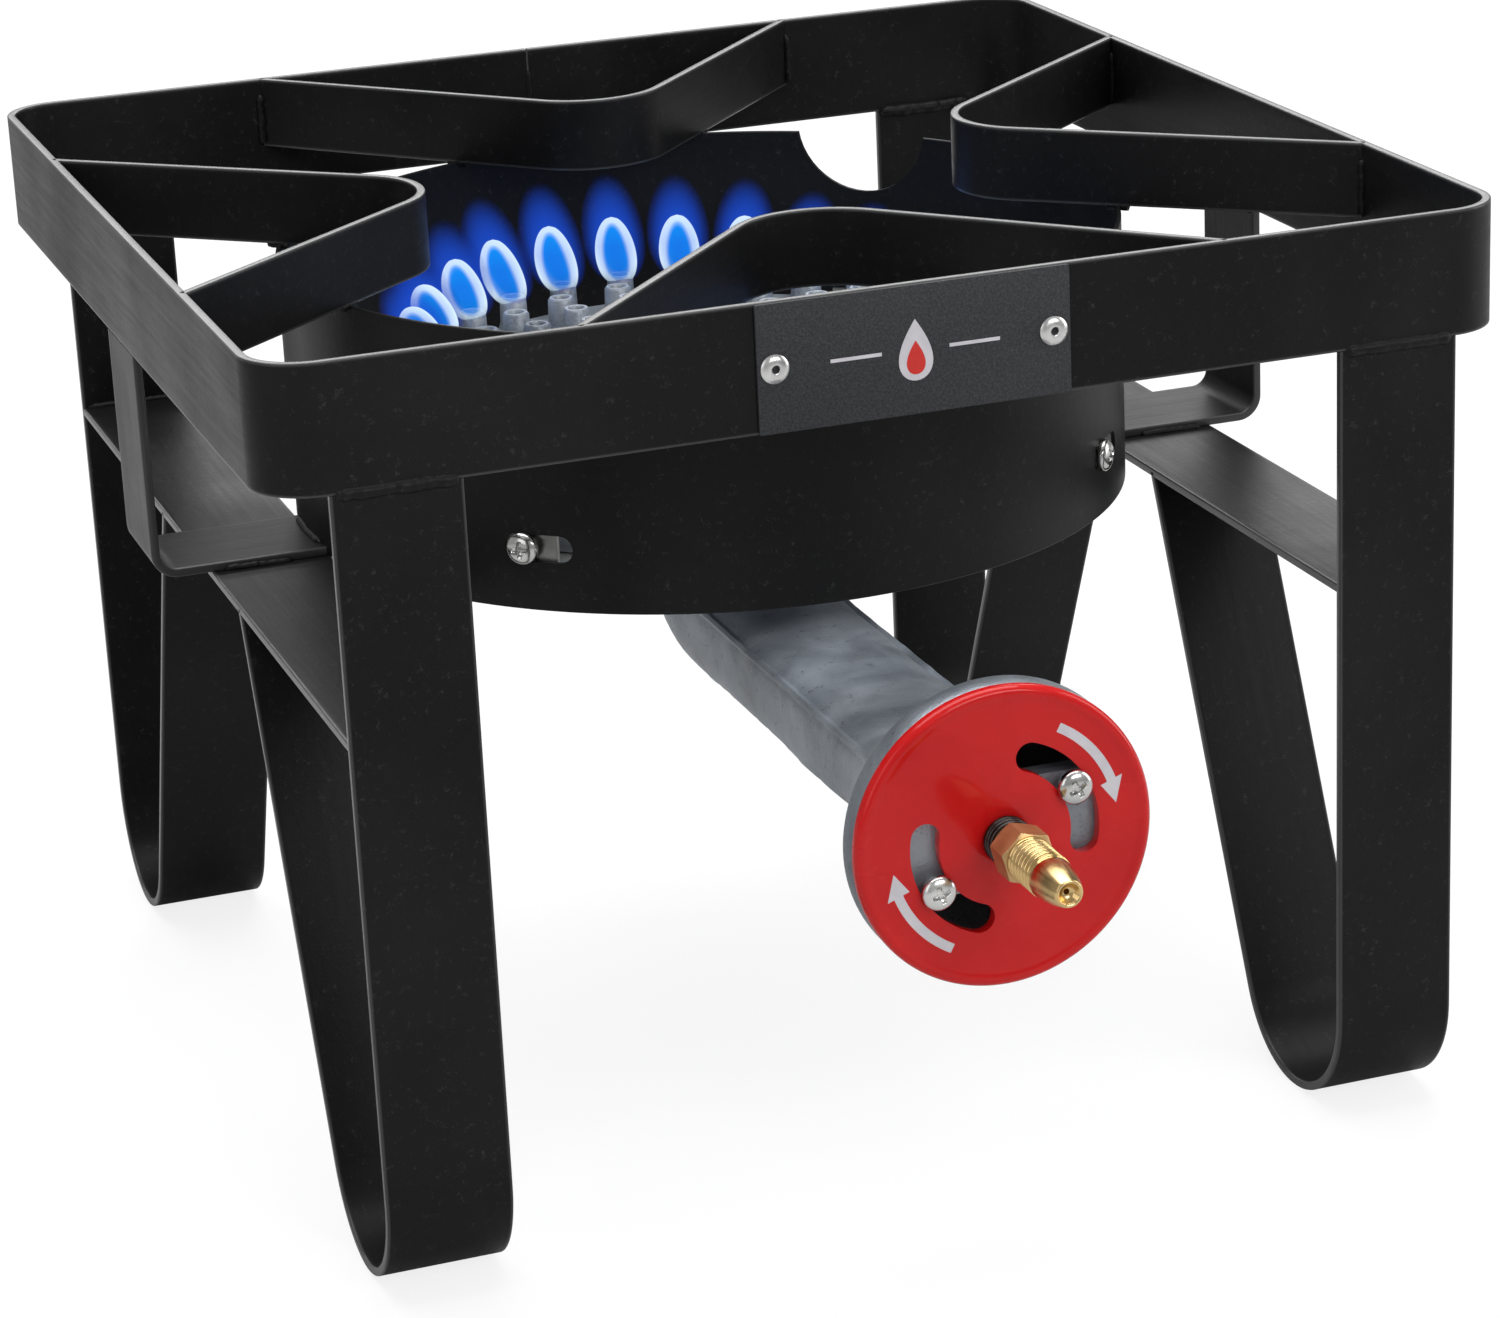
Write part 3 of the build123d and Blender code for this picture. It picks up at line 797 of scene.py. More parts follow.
shieldSpec = {"thick": 1.5 * mm, "notchAngle": 46.0, "notchRadius": 28.0 * mm, "notchLift": 4.0 * mm,
              "screwAngle": -133.0, "screwZ": 230.0 * mm, "slotLead": 2.0, "slotLength": 26.0 * mm,
              "slotHeight": 10.0 * mm}


def awayPlace(angle, reach, z):
    # x along the sheet, y up, z away from the middle
    c, s = polar(1, math.radians(angle))
    return lambda x, y, out: ((reach + out) * c - x * s, midY + (reach + out) * s + x * c, z + y)


def slotOutline(length, height, count=10):
    run = length / 2 - height / 2
    return arcPoints(run, 0, height / 2, -90, 90, count) + arcPoints(-run, 0, height / 2, 90, 270, count)


def makeShield():
    radius = shieldHigh.x
    inside = radius - shieldSpec["thick"]
    low, high = shieldLow.z, shieldHigh.z
    edge = 0.35 * mm
    profile = [(inside, low + edge), (inside + edge, low), (radius - edge, low), (radius, low + edge),
               (radius, (low + high) / 2), (radius, high - edge), (radius - edge, high), (inside + edge, high),
               (inside, high - edge), (inside, (low + high) / 2)]
    shell = turned("windShield", profile, 180, standing, closedLoop=True)
    cutters = []
    notch = arcPoints(0, 0, shieldSpec["notchRadius"], 0, 360, 48)[:-1]
    cutters.append(prism("notchCut", notch, -20 * mm, 20 * mm,
                         awayPlace(shieldSpec["notchAngle"], radius, high + shieldSpec["notchLift"])))
    outline = slotOutline(shieldSpec["slotLength"], shieldSpec["slotHeight"])
    for k in range(4):
        angle = shieldSpec["screwAngle"] + shieldSpec["slotLead"] + 90 * k
        place = awayPlace(angle, radius, shieldSpec["screwZ"])
        cutters.append(prism("slotCut", outline, -8 * mm, 8 * mm, place))
    cutWith(shell, cutters)
    tidyMesh(shell.data, 1e-6)
    handOver(shell, blackSheet, ["wind_shield"], 30)


makeShield()
print("wind shield cut")


# welds

weldSpec = {"leg": 2.6 * mm, "fine": 1.7 * mm, "seam": 1.1 * mm}


def makeWelds():
    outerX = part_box("leg_front_right")[1].x
    innerX = outerX - barWidth
    inner = halfRing - barThick
    lines = []

    def run(a, b, count=8):
        lines.append([Vector(a).lerp(Vector(b), k / count) for k in range(count + 1)])

    def acrossLeg(sideX, y, z, short):
        run((sideX * (innerX + short), y, z), (sideX * (outerX - short), y, z))

    for sideX in (-1, 1):
        for sideY, sink in ((-1, 1.2 * mm), (1, 4.0 * mm)):
            acrossLeg(sideX, midY + sideY * (halfRing - sink), ringBottom - 0.2 * mm, 1 * mm)
            acrossLeg(sideX, midY + sideY * inner, ringBottom - 0.2 * mm, 1 * mm)
    weldLines("legWelds", lines, Bead=weldSpec["leg"], Pitch=4.6 * mm, Seed=5)
    lines = []
    for sideX in (-1, 1):
        x, z = sideX * (halfRing - 2.7 * mm), ringBottom - 0.4 * mm
        for shift in (-1, 1):
            run((x, midY + shift * 6 * mm, z), (x, midY + shift * 21 * mm, z))
        # strap end to the shield, and strap edges down to the brace
        reach = shieldHigh.x + 0.3 * mm
        end = arcPoints(0, 0, reach, -6, 6, 8)
        lines.append([(sideX * x, midY + y, braceHigh.z + barThick) for x, y in end])
        for sideY in (-1, 1):
            y, z = midY + sideY * (barWidth / 2), braceHigh.z + 0.2 * mm
            run((sideX * 170 * mm, y, z), (sideX * 196 * mm, y, z))
            # brace to leg
            for z in (braceHigh.z, braceLow.z):
                acrossLeg(sideX, midY + sideY * inner, z, 2 * mm)
            acrossLeg(sideX, midY + sideY * (legSpec["inset"] + 0.5 * mm), braceLow.z - 0.3 * mm, 3 * mm)
    # support ends to the ring, then the supports to the shield's top edge
    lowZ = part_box("pot_support_front")[0].z
    apex = supportSpec["apex"]
    slope = (inner - apex) / supportSpec["end"]
    radius = shieldHigh.x - 0.7 * mm
    a, b, c = 1 + slope * slope, 2 * slope * apex, apex ** 2 - radius ** 2
    cross = (-b + math.sqrt(b * b - 4 * a * c)) / (2 * a)
    for c, s in quarters:
        for side in (-1, 1):
            for shift in (-2.6 * mm, 2.6 * mm):
                u, v = side * supportSpec["end"] + shift, -inner + 0.2 * mm
                x, y = c * u - s * v, midY + s * u + c * v
                run((x, y, lowZ + 1 * mm), (x, y, ringTop - 6 * mm))
    for c, s in quarters:
        for side in (-1, 1):
            u, v = side * cross, -(apex + slope * cross)
            for out in (-1.6 * mm, 1.6 * mm):
                spots = []
                for du in (-3.2 * mm, -1.6 * mm, 0.0, 1.6 * mm, 3.2 * mm):
                    p, q = u + side * du * 0.66 + out * 0.75, v - du * 0.75 - side * out * 0.66
                    spots.append((c * p - s * q, midY + s * p + c * q, lowZ - 0.3 * mm))
                lines.append(spots)
    weldLines("fineWelds", lines, Bead=weldSpec["fine"], Pitch=3.4 * mm, Seed=11)
    # butt joint at the middle of the ring's back
    lines = []
    y = midY + inner + 0.1 * mm
    run((0, y, ringBottom + 2 * mm), (0, y, ringTop - 9 * mm))
    weldLines("ringSeamWeld", lines, Bead=weldSpec["seam"], Pitch=2.4 * mm, Seed=2)


makeWelds()
print("welds run")


# name plate and rivets

plateSpec = {"corner": 0.8 * mm, "edge": 0.25 * mm, "rivetSpread": 49.4 * mm, "rivetHead": 5.0 * mm}


def makePlate():
    low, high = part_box("name_plate")
    middle = Vector(((low.x + high.x) / 2, low.y, (low.z + high.z) / 2))

    def onFront(x, y, z):
        return (middle.x + x, middle.y - z, middle.z + y)

    outline = roundedOutline(high.x - low.x, high.z - low.z, plateSpec["corner"])
    plate = prism("namePlate", outline, -(high.y - low.y), 0.0, onFront)
    cutWith(plate, [], plateSpec["edge"], 2, 60)
    handOver(plate, charcoal, ["name_plate"])
    # rivets: domed heads with a hollow middle
    r = plateSpec["rivetHead"]
    bore = 1.35 * mm
    profile = [(0, -0.9 * mm), (bore * 0.9, -0.9 * mm), (bore, -0.3 * mm), (bore, 1.15 * mm),
               (bore + 0.25 * mm, 1.45 * mm), (r * 0.52, 1.5 * mm), (r * 0.72, 1.25 * mm), (r * 0.9, 0.8 * mm),
               (r, 0.35 * mm), (r, 0.0), (r * 0.5, -1.2 * mm), (0, -1.2 * mm)]
    rivet = turned("rivet", profile, 32, asIs)
    spots = [((side * plateSpec["rivetSpread"], middle.y, middle.z), (0, -1, 0)) for side in (-1, 1)]
    onSpots("plateRivets", rivet, spots, "bright_rivet", ["name_plate_rivets"], 35,
            Finish=rivetMetal, Spin=1.5, Seed=4)
    return onFront


plateFront = makePlate()


def flameOutline(width, height):
    # a plain drop shape, point upwards
    spots = []
    for a in around(36):
        lift = (1 - math.cos(a)) / 2
        narrow = math.sin(a) * (1 - lift) ** 0.55 if lift < 0.999 else 0
        spots.append((width * 0.62 * narrow, height * (lift - 0.5)))
    return spots


def makeEmblem():
    # a generic flame mark: white drop, red drop inside, and one rule each side
    face, under, over = 0.12 * mm, -0.05 * mm, 0.06 * mm
    drop = flameOutline(13 * mm, 21 * mm)
    pieces = [prism("dropOut", drop, under, face, plateFront)]
    for side in (-1, 1):
        bar = [(side * x * mm, y * mm) for x, y in ((12, -0.6), (30, -0.6), (30, 0.6), (12, 0.6))]
        pieces.append(prism("rule", bar, under, face, plateFront))
    white = joined("plateMarkWhite", pieces)
    tidyMesh(white.data, 1e-6)
    handOver(white, markWhite)
    inside = [(x * 0.55, y * 0.55 - 2.6 * mm) for x, y in drop]
    handOver(prism("plateMarkRed", inside, 0.0, face + over, plateFront), markRed)


makeEmblem()
print("name plate made")


# screws and nuts

screwSpec = {"head": 6.0 * mm, "tall": 3.9 * mm, "cross": 0.75 * mm, "crossReach": 3.1 * mm,
             "crossDeep": 1.7 * mm}
nutSpec = {"flats": 10 * mm, "tall": 5 * mm, "bore": 3 * mm}
hangerSpec = {"thick": 2.0 * mm, "wide": 24 * mm, "edge": 0.3 * mm, "gap": 0.6 * mm, "bend": 4.0 * mm}
screwAngles = [math.radians(shieldSpec["screwAngle"] + 90 * k) for k in range(4)]


def panScrew(shank):
    # domed head with a cross recess; the shank goes down from 0
    r, tall, deep, reach = (screwSpec[k] for k in ("head", "tall", "crossDeep", "crossReach"))
    rings, angles = 22, around(56)
    rows = [[(0, 0, tall - deep)] * len(angles)]
    for i in range(1, rings + 1):
        radius = r * math.sin(i / rings * math.pi / 2)
        lift = tall * (0.34 + 0.66 * math.sqrt(max(0.0, 1 - (radius / r) ** 2.6)))
        crossWide = screwSpec["cross"] * (1.15 - 0.3 * radius / r)
        low = min(lift, tall - deep * (0.35 + 0.65 * (1 - (radius / reach) ** 3)))
        row = []
        for x, y in (polar(radius, a) for a in angles):
            row.append((x, y, low if radius < reach and min(abs(x), abs(y)) < crossWide else lift))
        rows.append(row)
    for radius, z in ((r * 0.995, tall * 0.1), (r * 0.97, 0.0), (3.0 * mm, 0.0), (3.0 * mm, 0.5 * mm - shank),
                      (2.5 * mm, -shank), (0, -shank)):
        rows.append([(*polar(radius, a), z) for a in angles])
    screw = skinned("panScrew", rows, capped=False)
    smoothBy(screw.data, 42)
    return screw


def hexReach(half, a):
    # from the middle of a hexagon to its side; half is half its width across flats
    fold = (a + math.pi / 6) % (math.pi / 3) - math.pi / 6
    return half / math.cos(fold)


def hexNut(flats, tall, bore):
    # hexagon with turned-down corners and a plain hole
    half, angles, rows = flats / 2, around(48), []

    def addRow(radius, z):
        rows.append([(*polar(radius, a), z) for a in angles])

    def addSide(z, way):
        row = []
        for a in angles:
            radius = hexReach(half, a)
            row.append((*polar(radius, a), z + way * (max(0.0, radius - half) * 0.6 + 0.1 * mm)))
        rows.append(row)

    addRow(bore, 0.0)
    addRow(half * 0.96, 0.0)
    addSide(0.0, 1)
    addSide(tall, -1)
    addRow(half * 0.96, tall)
    addRow(bore + 0.3 * mm, tall)
    addRow(bore, tall - 0.3 * mm)
    nut = skinned("hexNut", rows + rows[:1], capped=False)
    smoothBy(nut.data, 30)
    return nut


def makeShieldScrews():
    spots, backs = [], []
    behind = shieldSpec["thick"] + hangerSpec["gap"] + hangerSpec["thick"] + nutSpec["tall"]
    middle = Vector((0, midY, shieldSpec["screwZ"]))
    for a in screwAngles:
        away = Vector((*polar(1, a), 0))
        spots.append((middle + away * (shieldHigh.x + 0.2 * mm), away))
        backs.append((middle + away * (shieldHigh.x - behind), away))
    onSpots("shieldScrews", panScrew(13 * mm), spots, "zinc_plate", ["shield_screws"],
            Finish=zinc, Spin=1.4, Seed=8)
    onSpots("shieldNuts", hexNut(**nutSpec), backs, "zinc_plate", ["shield_nuts"], 30,
            Finish=zinc, Spin=1.4, Seed=9)


makeShieldScrews()
print("screws placed")


# burner

burnerSpec = {"radius": 112.0 * mm, "floor": 203.0 * mm, "shoulder": 222.0 * mm, "rim": 244.0 * mm,
              "throat": 38.0 * mm, "capTop": 252.0 * mm, "portTall": 13.0 * mm, "port": 5.5 * mm,
              "bore": 2.8 * mm,
              "rings": ((104.0 * mm, 26), (87.0 * mm, 21), (70.0 * mm, 17), (53.0 * mm, 13)),
              "lugReach": 130.0 * mm, "lugHole": 121.0 * mm, "lugWide": 26.0 * mm, "lugThick": 7.0 * mm}
lugLow = burnerSpec["shoulder"] - 3 * mm


def makeBowl():
    s = burnerSpec
    r, throat, shoulder, rim, low = (s[k] for k in ("radius", "throat", "shoulder", "rim", "floor"))
    profile = [(0, low), (throat, low), (throat + 14 * mm, low + 2.2 * mm), (r - 30 * mm, low + 8.5 * mm),
               (r - 12 * mm, shoulder - 6.5 * mm), (r - 4.5 * mm, shoulder - 3 * mm),
               (r - 1.4 * mm, shoulder + 0.2 * mm), (r, shoulder + 4 * mm), (r, rim - 1 * mm),
               (r - 0.8 * mm, rim), (0, rim)]
    pieces = [turned("bowlShell", profile, 144, standing)]
    wide, corner, root = s["lugWide"] / 2, 9 * mm, r - 9 * mm
    outline = [(root, -wide)] + arcPoints(s["lugReach"] - corner, corner - wide, corner, -90, 0, 6)
    outline += arcPoints(s["lugReach"] - corner, wide - corner, corner, 0, 90, 6) + [(root, wide)]
    for angle in screwAngles:
        c, sn = polar(1, angle)
        lug = prism("lug", outline, lugLow, lugLow + s["lugThick"],
                    lambda x, y, z: (c * x - sn * y, midY + sn * x + c * y, z))
        cutWith(lug, [], 1.0 * mm, 2, 60)
        pieces.append(lug)
    handOver(joined("burnerBowl", pieces), castSilver, ["burner_casting"], 50)


tubeSpec = {"wide": 54.0 * mm, "tall": 37.0 * mm, "wall": 5.0 * mm, "bendRadius": 40.0 * mm,
            "bellStart": 214.0 * mm, "bellEnd": 276.0 * mm, "mouth": 44.0 * mm, "flange": 52.2 * mm,
            "flangeThick": 10.5 * mm, "flangeBack": 4.7 * mm, "webHalf": 18.5 * mm, "webThick": 8.0 * mm,
            "shutterReach": 291.0 * mm, "rib": 2.2 * mm, "ribAngle": 0.52}


def tubeRing(centre, up, wide, tall, square, rib):
    # one closed section: square 2 is round, 5 has flat sides; rib lifts the two parting lines
    side, mark, spots = Vector((1, 0, 0)), tubeSpec["ribAngle"], []
    for a in around(144):
        c, s = math.cos(a), math.sin(a)
        swell = 0.0
        for middle in (mark, math.pi - mark):
            off = abs((a - middle + math.pi) % (2 * math.pi) - math.pi)
            swell += rib * math.exp(-(off / 0.075) ** 6)
        upper = square if s < 0 else 0.75 * square + 0.5
        x = math.copysign(abs(c) ** (2 / square), c) * wide / 2 + c * swell
        y = math.copysign(abs(s) ** (2 / upper), s) * tall / 2 + s * swell
        spot = centre + side * x + up * y
        rough = noise.noise(spot * 120) * 0.4 * mm + noise.noise(spot * 32) * 0.8 * mm
        spots.append(spot + (side * c + up * s) * rough)
    return spots


def makeTube():
    s = tubeSpec
    wide, tall, rib, straightUp = s["wide"], s["tall"], s["rib"], Vector((0, 0, 1))
    outer = []
    back = shutterFront - midY + s["shutterReach"]  # 0 when the shutter stands where it should

    def atReach(reach):
        return Vector((0, midY - reach + back, tubeZ))

    # bell mouth, from the flange back to the tube
    bellSteps, straightSteps, bendSteps = 16, 40, 14
    for k in range(bellSteps + 1):
        share = k / bellSteps
        reach = s["bellEnd"] + (s["bellStart"] - s["bellEnd"]) * share
        flare, mouth = (1 - share) ** 1.9, 2 * s["mouth"] + 11 * mm
        outer.append((atReach(reach), straightUp, wide + (mouth - wide) * flare, tall + (mouth - tall) * flare,
                      2 + 1.9 * min(1, share * 1.5), rib * min(1, share * 1.4)))
    stop = s["bendRadius"] + 6 * mm
    for k in range(1, straightSteps + 1):
        reach = s["bellStart"] + (stop - s["bellStart"]) * k / straightSteps
        outer.append((atReach(reach), straightUp, wide, tall, 3.6, rib))
    # elbow up into the bowl
    radius = max(burnerSpec["floor"] + 3 * mm - tubeZ, 38 * mm)
    for k in range(1, bendSteps + 1):
        grow = k / bendSteps
        c, sn = polar(1, math.pi / 2 * grow)
        outer.append((atReach(stop) + Vector((0, radius * sn, radius * (1 - c))), Vector((0, -sn, c)),
                      wide + 6 * mm * grow, tall + 12 * mm * grow, 3.6 - 1.0 * grow, rib))
    rows = [tubeRing(*ring) for ring in outer]
    wall = 2 * s["wall"]
    inner = [tubeRing(c, up, w - wall, t - wall, square, 0.0)
             for c, up, w, t, square, r in outer[:bellSteps + 24]]
    handOver(skinned("mixingTube", inner[::-1] + rows), castSilver, (), 50)


def makeFlange():
    # round flange with a flat cross web that carries the hub and the two clamp screws
    s = tubeSpec
    face = -s["flangeBack"]
    back = face - s["flangeThick"]
    r, mouth = s["flange"], s["mouth"]
    profile = [(mouth, face), (r - 1.6 * mm, face), (r - 0.5 * mm, face - 0.5 * mm), (r, face - 1.7 * mm),
               (r, back + 2.4 * mm), (r - 0.7 * mm, back + 0.8 * mm), (r - 2.4 * mm, back), (mouth, back)]
    rim = turned("rim", profile, 128, facing, closedLoop=True)
    reach = mouth + 0.8 * mm
    start = math.degrees(math.asin(s["webHalf"] / reach))
    outline = arcPoints(0, 0, reach, -start, start, 10) + arcPoints(0, 0, reach, 180 - start, 180 + start, 10)
    web = prism("web", outline, face - s["webThick"], face, facing)
    hub = turned("hub", [(0, face - 16 * mm), (10.5 * mm, face - 16 * mm), (11 * mm, face - 15 * mm),
                         (11.5 * mm, face - 1 * mm), (0, face - 1 * mm)], 48, facing)
    handOver(joined("burnerFlange", [rim, web, hub]), castSilver, (), 40)


def makeCap():
    s = burnerSpec
    r, low, top = s["radius"], s["rim"], s["capTop"]
    profile = [(0, low), (r - 0.6 * mm, low), (r, low + 0.6 * mm), (r, top - 2.2 * mm),
               (r - 0.8 * mm, top - 0.8 * mm), (r - 2.6 * mm, top), (30 * mm, top),
               (28 * mm, top + 1.6 * mm), (14 * mm, top + 2.0 * mm), (0, top + 2.0 * mm)]
    handOver(turned("portPlate", profile, 144, standing), castSilver, ["burner_cap"], 45)
    outer, bore, tall = s["port"], s["bore"], s["portTall"]
    profile = [(0, -1 * mm), (outer + 1.1 * mm, -1 * mm), (outer + 0.5 * mm, 1.2 * mm), (outer, 3 * mm),
               (outer - 0.3 * mm, tall - 0.9 * mm), (outer - 1.0 * mm, tall), (bore + 0.6 * mm, tall),
               (bore, tall - 0.8 * mm), (bore, 1 * mm), (0, 1 * mm)]
    port = turned("port", profile, 20, asIs)
    smoothBy(port.data, 40)
    spots = []
    for radius, count in s["rings"]:
        for a in around(count):
            x, y = polar(radius, a + math.pi / count)
            spots.append(((x, midY + y, top), (0, 0, 1)))
    onSpots("burnerPorts", port, spots, "silver_cast_paint", (), 40, Finish=castSilver, Spin=3.0, Seed=6)
    spots = [((0, midY, top + 1.8 * mm), (0, 0, 1))]
    onSpots("capBoltHead", hexNut(13 * mm, 5.3 * mm, 0.2 * mm), spots, "zinc_plate", ["burner_cap_bolt"], 30,
            Finish=zinc, Seed=1)


def makeHangers():
    s, thick = burnerSpec, hangerSpec["thick"]
    under = lugLow - thick / 2
    wall = shieldHigh.x - shieldSpec["thick"] - hangerSpec["gap"] - thick / 2
    path = bendPath([(s["lugHole"] - 9 * mm, under), (wall, under), (wall, lugLow + 24 * mm)],
                    hangerSpec["bend"], 9.0, 0.02)
    section = barSection(thick, hangerSpec["wide"], hangerSpec["edge"], 2)
    strips, screwSpots, nutSpots = [], [], []
    for angle in screwAngles:
        c, sn = polar(1, angle)
        strips.append(makeBar("strip", path, lambda u, v, w: (c * u - sn * w, midY + sn * u + c * w, v),
                              section))
        x, y = s["lugHole"] * c, midY + s["lugHole"] * sn
        screwSpots.append(((x, y, lugLow + s["lugThick"]), (0, 0, 1)))
        nutSpots.append(((x, y, lugLow - thick - nutSpec["tall"]), (0, 0, 1)))
    handOver(joined("burnerHangers", strips), hangerZinc, ["burner_hangers"])
    onSpots("hangerScrews", panScrew(16 * mm), screwSpots, "zinc_plate", ["hanger_screws"],
            Finish=zinc, Spin=1.4, Seed=12)
    onSpots("hangerNuts", hexNut(**nutSpec), nutSpots, "zinc_plate", ["hanger_nuts"], 30,
            Finish=zinc, Spin=1.4, Seed=13)


makeBowl()
makeTube()
makeFlange()
makeCap()
makeHangers()
print("burner made")


# air shutter

shutterSpec = {"radius": 52.4 * mm, "thick": 4.5 * mm, "slotRadius": 28.4 * mm, "slotWide": 10.2 * mm,
               "slotSweep": 80.0, "slotAngle": 30.5, "hole": 6.05 * mm, "rim": 2.6 * mm,
               "dish": 0.42 * mm}


def arcBand(radius, wide, start, stop, count=26):
    # a curved slot with round ends
    endX, endY = polar(radius, math.radians(stop))
    startX, startY = polar(radius, math.radians(start))
    spots = arcPoints(0, 0, radius + wide / 2, start, stop, count)
    spots += arcPoints(endX, endY, wide / 2, stop, stop + 180, 12)[1:-1]
    spots += arcPoints(0, 0, radius - wide / 2, stop, start, count)
    return spots + arcPoints(startX, startY, wide / 2, start - 180, start, 12)[1:-1]


def makeShutter():
    s = shutterSpec
    r, t, hole, rim, dish = (s[k] for k in ("radius", "thick", "hole", "rim", "dish"))
    profile = [(hole, -t), (r - 0.5 * mm, -t), (r, -t + 0.5 * mm)]
    profile += arcPoints(r - rim, -rim, rim, 0, 90, 10)
    profile += [(r - rim - 1.1 * mm, -0.02 * mm), (r - rim - 1.9 * mm, -0.35 * mm), (r - rim - 3.0 * mm, -dish),
                (r - rim - 12 * mm, -dish), (13 * mm, -dish), (11 * mm, -0.3 * mm),
                (hole + 0.6 * mm, -0.3 * mm), (hole, -0.7 * mm)]
    disc = turned("airShutter", profile, 192, facing, closedLoop=True)
    cutters = []
    for start in (s["slotAngle"] - s["slotSweep"] / 2, s["slotAngle"] + 180 - s["slotSweep"] / 2):
        band = arcBand(s["slotRadius"], s["slotWide"], start, start + s["slotSweep"])
        cutters.append(prism("slotCut", band, -t - 3 * mm, 3 * mm, facing))
    cutWith(disc, cutters, 0.6 * mm, 3, 55)
    tidyMesh(disc.data, 2e-6)
    handOver(disc, glossRed, ["air_shutter"], 40, shutterBody)


arrowSpec = {"radius": 40.6 * mm, "wide": 3.3 * mm, "head": 8.2 * mm, "headLong": 10.5,
             "runs": ((61.0, 10.0), (241.0, 190.0))}


def makeArrows():
    # two curved arrows, printed on the disc; each runs clockwise from its first angle
    r, wide, head, long = (arrowSpec[k] for k in ("radius", "wide", "head", "headLong"))
    face = -shutterSpec["dish"]
    arrows = []
    for start, stop in arrowSpec["runs"]:
        neck, tip = stop + long, stop - 1.5
        spots = arcPoints(0, 0, r + wide / 2, start, neck, 20)
        for reach, angle in ((r + head / 2, neck), (r - 0.6 * mm, tip), (r - head / 2, neck)):
            spots.append(polar(reach, math.radians(angle)))
        spots += arcPoints(0, 0, r - wide / 2, neck, start, 20)
        arrows.append(prism("arrow", spots, face - 0.06 * mm, face + 0.07 * mm, facing))
    marks = joined("shutterArrows", arrows)
    tidyMesh(marks.data, 1e-7)
    handOver(marks, markWhite, body=shutterBody)


def makeShutterScrews():
    spots = []
    for turn in (0, math.pi):
        x, y = polar(shutterSpec["slotRadius"], math.radians(shutterSpec["slotAngle"]) + turn)
        spots.append((facing(x, y, 0.1 * mm), (0, -1, 0)))
    onSpots("shutterScrews", panScrew(12.5 * mm), spots, "zinc_plate", ["shutter_screws"],
            Finish=zinc, Spin=0.8, Seed=21)


makeShutter()
makeArrows()
makeShutterScrews()
print("air shutter made")


# gas fitting and spring

fittingSpec = {"neck": 6.0 * mm, "hexFlats": 17.0 * mm, "hexStart": 8.5 * mm, "hexLong": 11.5 * mm,
               "thread": 7.94 * mm, "threadLong": 18.0 * mm, "pitch": 2.5 * mm, "deep": 1.25 * mm,
               "tip": 4.0 * mm, "bore": 3.5 * mm}


def fittingSkin(name, rows, spin=0.0):
    # rows of (radius, distance out of the front) round the fitting's axis
    angles = around(len(rows[0]))
    return skinned(name, [[facing(*polar(radius, a + spin), z) for a, (radius, z) in zip(angles, row)]
                          for row in rows])


def makeHex():
    # neck and hexagon, the hexagon's corners turned down at both ends
    s, steps = fittingSpec, 96
    half, start, stop = s["hexFlats"] / 2, s["hexStart"], s["hexStart"] + s["hexLong"]
    heights = [0.0, 0.25, 0.5, 0.75, 1.0, 1.3, 1.7]
    rows = [[(s["neck"], -20 * mm)] * steps, [(s["neck"], start)] * steps]
    for z in [start + h * mm for h in heights] + [stop - h * mm for h in heights[::-1]]:
        cone = half * 0.955 + min(z - start, stop - z) * 2.0  # the chamfer, seen from the nearer end
        rows.append([(min(hexReach(half, a) - 0.05 * mm, cone), z) for a in around(steps)])
    rows.append([(s["thread"] - 1.0 * mm, stop)] * steps)
    handOver(fittingSkin("fittingHex", rows, 0.26), brassDull, ["gas_fitting"], 25)


def makeThreadedNose():
    # one skin from the hexagon out to the tip and back down the bore
    s, steps = fittingSpec, 64
    low = s["hexStart"] + s["hexLong"] - 0.3 * mm
    high = low + 0.3 * mm + s["threadLong"]
    tipZ = shutterFront - fittingFront
    count = int((high - low) * 12 / s["pitch"])
    rows = []
    for i in range(count + 1):
        z = low + (high - low) * i / count
        fade = min(1.0, max(0.0, (z - low) / mm - 0.8)) * min(1.0, max(0.0, (high - z) / (0.9 * mm)))
        neck = 0.35 * mm * max(0.0, 1 - (high - z) / (1.2 * mm))
        row = []
        for k in range(steps):
            wave = abs((z / s["pitch"] - k / steps) % 1.0 - 0.5) * 2  # 1 at the root, 0 at the crest
            dip = max(0.0, min(1.0, (wave - 0.12) / 0.74))
            row.append((s["thread"] - 0.12 * mm - s["deep"] * dip * fade - neck, z))
        rows.append(row)
    shoulder, noseLong, tip, bore = s["thread"] - 0.5 * mm, tipZ - high, s["tip"], s["bore"]
    ends = []
    for share in (k / 16 for k in range(1, 17)):
        ends.append((shoulder - (shoulder - tip - 0.9 * mm) * share ** 1.75,
                     high + (noseLong - 0.9 * mm) * share))
    ends += [(tip + 0.7 * mm, tipZ - 0.3 * mm), (tip + 0.3 * mm, tipZ), (tip - 0.1 * mm, tipZ),
             (bore, tipZ - 0.4 * mm), (bore * 0.8, tipZ - 1.7 * mm), (bore * 0.5, tipZ - 2.6 * mm),
             (1.0 * mm, tipZ - 2.8 * mm), (0.9 * mm, tipZ - 9 * mm)]
    rows += [[end] * steps for end in ends]
    handOver(fittingSkin("fittingNose", rows), brassBright, (), 50)


springSpec = {"wire": 0.72 * mm, "radius": 7.6 * mm, "turns": 4.2, "crowd": 1.9}


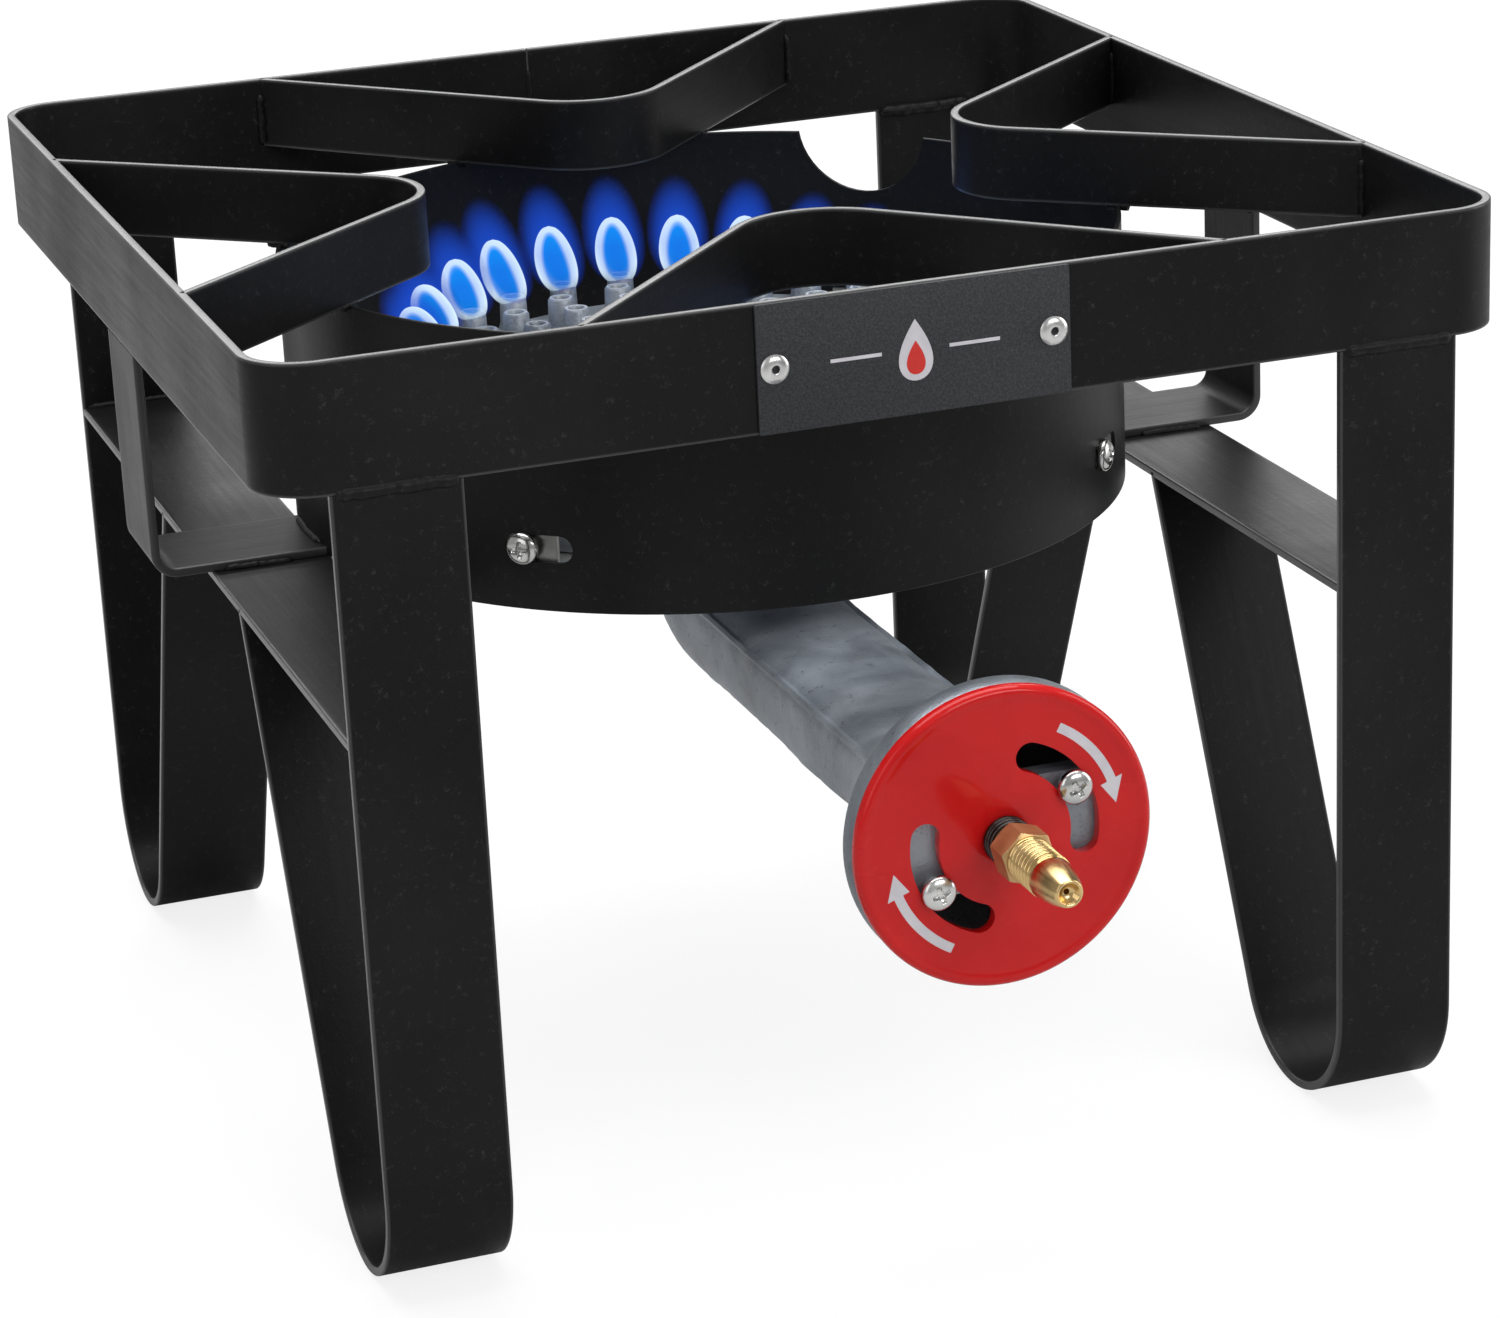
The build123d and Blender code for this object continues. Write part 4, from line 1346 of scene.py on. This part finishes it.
def makeSpring():
    s, steps = springSpec, 150
    low, high = 0.75 * mm, fittingSpec["hexStart"] - 0.75 * mm
    rows = []
    for share in (i / steps for i in range(steps + 1)):
        a = 2 * math.pi * s["turns"] * share
        rise = low + (high - low) * share ** s["crowd"]
        wire = [polar(s["wire"], b) for b in around(12)]
        rows.append([facing(*polar(s["radius"] + out, a), rise + up) for out, up in wire])
    handOver(skinned("shutterSpring", rows), springBlack, ["shutter_spring"], 60)


makeHex()
makeThreadedNose()
makeSpring()
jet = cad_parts["gas_jet"]
jet.data.materials.clear()
jet.data.materials.append(brassBright)
print("gas fitting made")

# flames, staged: they show how the burner works and aren't part of the stand

flameSpec = {"count": 26, "ring": 104.0 * mm, "lean": 24.0, "outerTall": 47 * mm, "outerWide": 29 * mm,
             "coreTall": 28 * mm, "coreWide": 17.5 * mm, "tallest": 100.0}


def flameGlow(name, centre, rim, strength, edge, fade, climb):
    # brighter or bluer towards its outline, thinner towards its tip
    glow = bpy.data.materials.new(name)
    glow.use_nodes = True
    tree = glow.node_tree
    tree.nodes.clear()
    weight = put(tree, "ShaderNodeLayerWeight", {"Blend": 0.5})
    aside = weight.outputs["Facing"]
    rise = put(tree, "ShaderNodeAttribute", attribute_name="rise")
    colour = mixColour(tree, ramp(tree, aside, edge), centre, rim)
    light = put(tree, "ShaderNodeEmission", {"Color": colour, "Strength": strength})
    clear = put(tree, "ShaderNodeBsdfTransparent")
    body = ramp(tree, aside, fade)
    top = ramp(tree, rise.outputs["Fac"], climb)
    mixed = put(tree, "ShaderNodeMixShader", {0: calc(tree, "MULTIPLY", body, top), 1: clear.outputs[0],
                                              2: light.outputs[0]})
    end = tree.nodes.new("ShaderNodeOutputMaterial")
    tree.links.new(mixed.outputs[0], end.inputs["Surface"])
    return glow


def makeFlames():
    s = flameSpec
    base = burnerSpec["capTop"] + burnerSpec["portTall"] - 4 * mm
    outerGlow = flameGlow("flameOuter", (0.014, 0.085, 0.68), (0.008, 0.035, 0.34), 1.0,
                          ((0.0, 0.0), (0.5, 1.0)),
                          ((0.0, 0.75), (0.1, 0.62), (0.32, 0.24), (0.62, 0.0)),
                          ((0.0, 0.9), (0.4, 0.95), (0.7, 0.55), (1.0, 0.0)))
    coreGlow = flameGlow("flameCore", (0.0, 0.34, 0.86), (0.78, 0.97, 1.0), 1.5,
                         ((0.12, 0.0), (0.25, 1.0)),
                         ((0.0, 0.7), (0.3, 0.95), (0.72, 0.85), (0.97, 0.0)),
                         ((0.0, 0.0), (0.3, 0.75), (0.6, 1.0), (1.0, 1.0)))
    steps, rows = 32, 28
    for name, tall, wide, glow in (("flameOuter", s["outerTall"], s["outerWide"], outerGlow),
                                   ("flameCore", s["coreTall"], s["coreWide"], coreGlow)):
        verts, faces, rises = [], [], []
        for k in range(s["count"]):
            a = 2 * math.pi * (k + 0.5) / s["count"]
            away, side = Vector((*polar(1, a), 0)), Vector((-math.sin(a), math.cos(a), 0))
            lean = math.radians(s["lean"]) + noise.noise(Vector((k * 1.7, 0.3, 0))) * 0.16
            size = 0.6 + 0.4 * max(0.0, math.cos(a - math.radians(s["tallest"]))) ** 1.5
            size += noise.noise(Vector((k * 2.3, 5.1, 0))) * 0.08
            faces += rowFaces(rows + 1, steps, len(verts))
            for share in (i / rows for i in range(rows + 1)):
                swell = math.sqrt(max(0.0, 1 - (2 * share ** 0.86 - 1) ** 2))
                radius = wide / 2 * swell * (1 - 0.12 * share)
                along = tall * size * share
                centre = Vector((0, midY, base + math.cos(lean) * along))
                centre += away * (s["ring"] + math.sin(lean) * along * (1 - 0.25 * share))
                for x, y in (polar(radius, b) for b in around(steps)):
                    verts.append(tuple(centre + away * x + side * y))
                rises += [share] * steps
        mesh = meshOf(name, verts, faces)
        rise = mesh.attributes.new("rise", "FLOAT", "POINT")
        rise.data.foreach_set("value", rises)
        mesh.shade_smooth()
        mesh.materials.append(glow)
        flames = newObject(name, mesh)
        flames.visible_shadow = False


makeFlames()
print("flames staged")
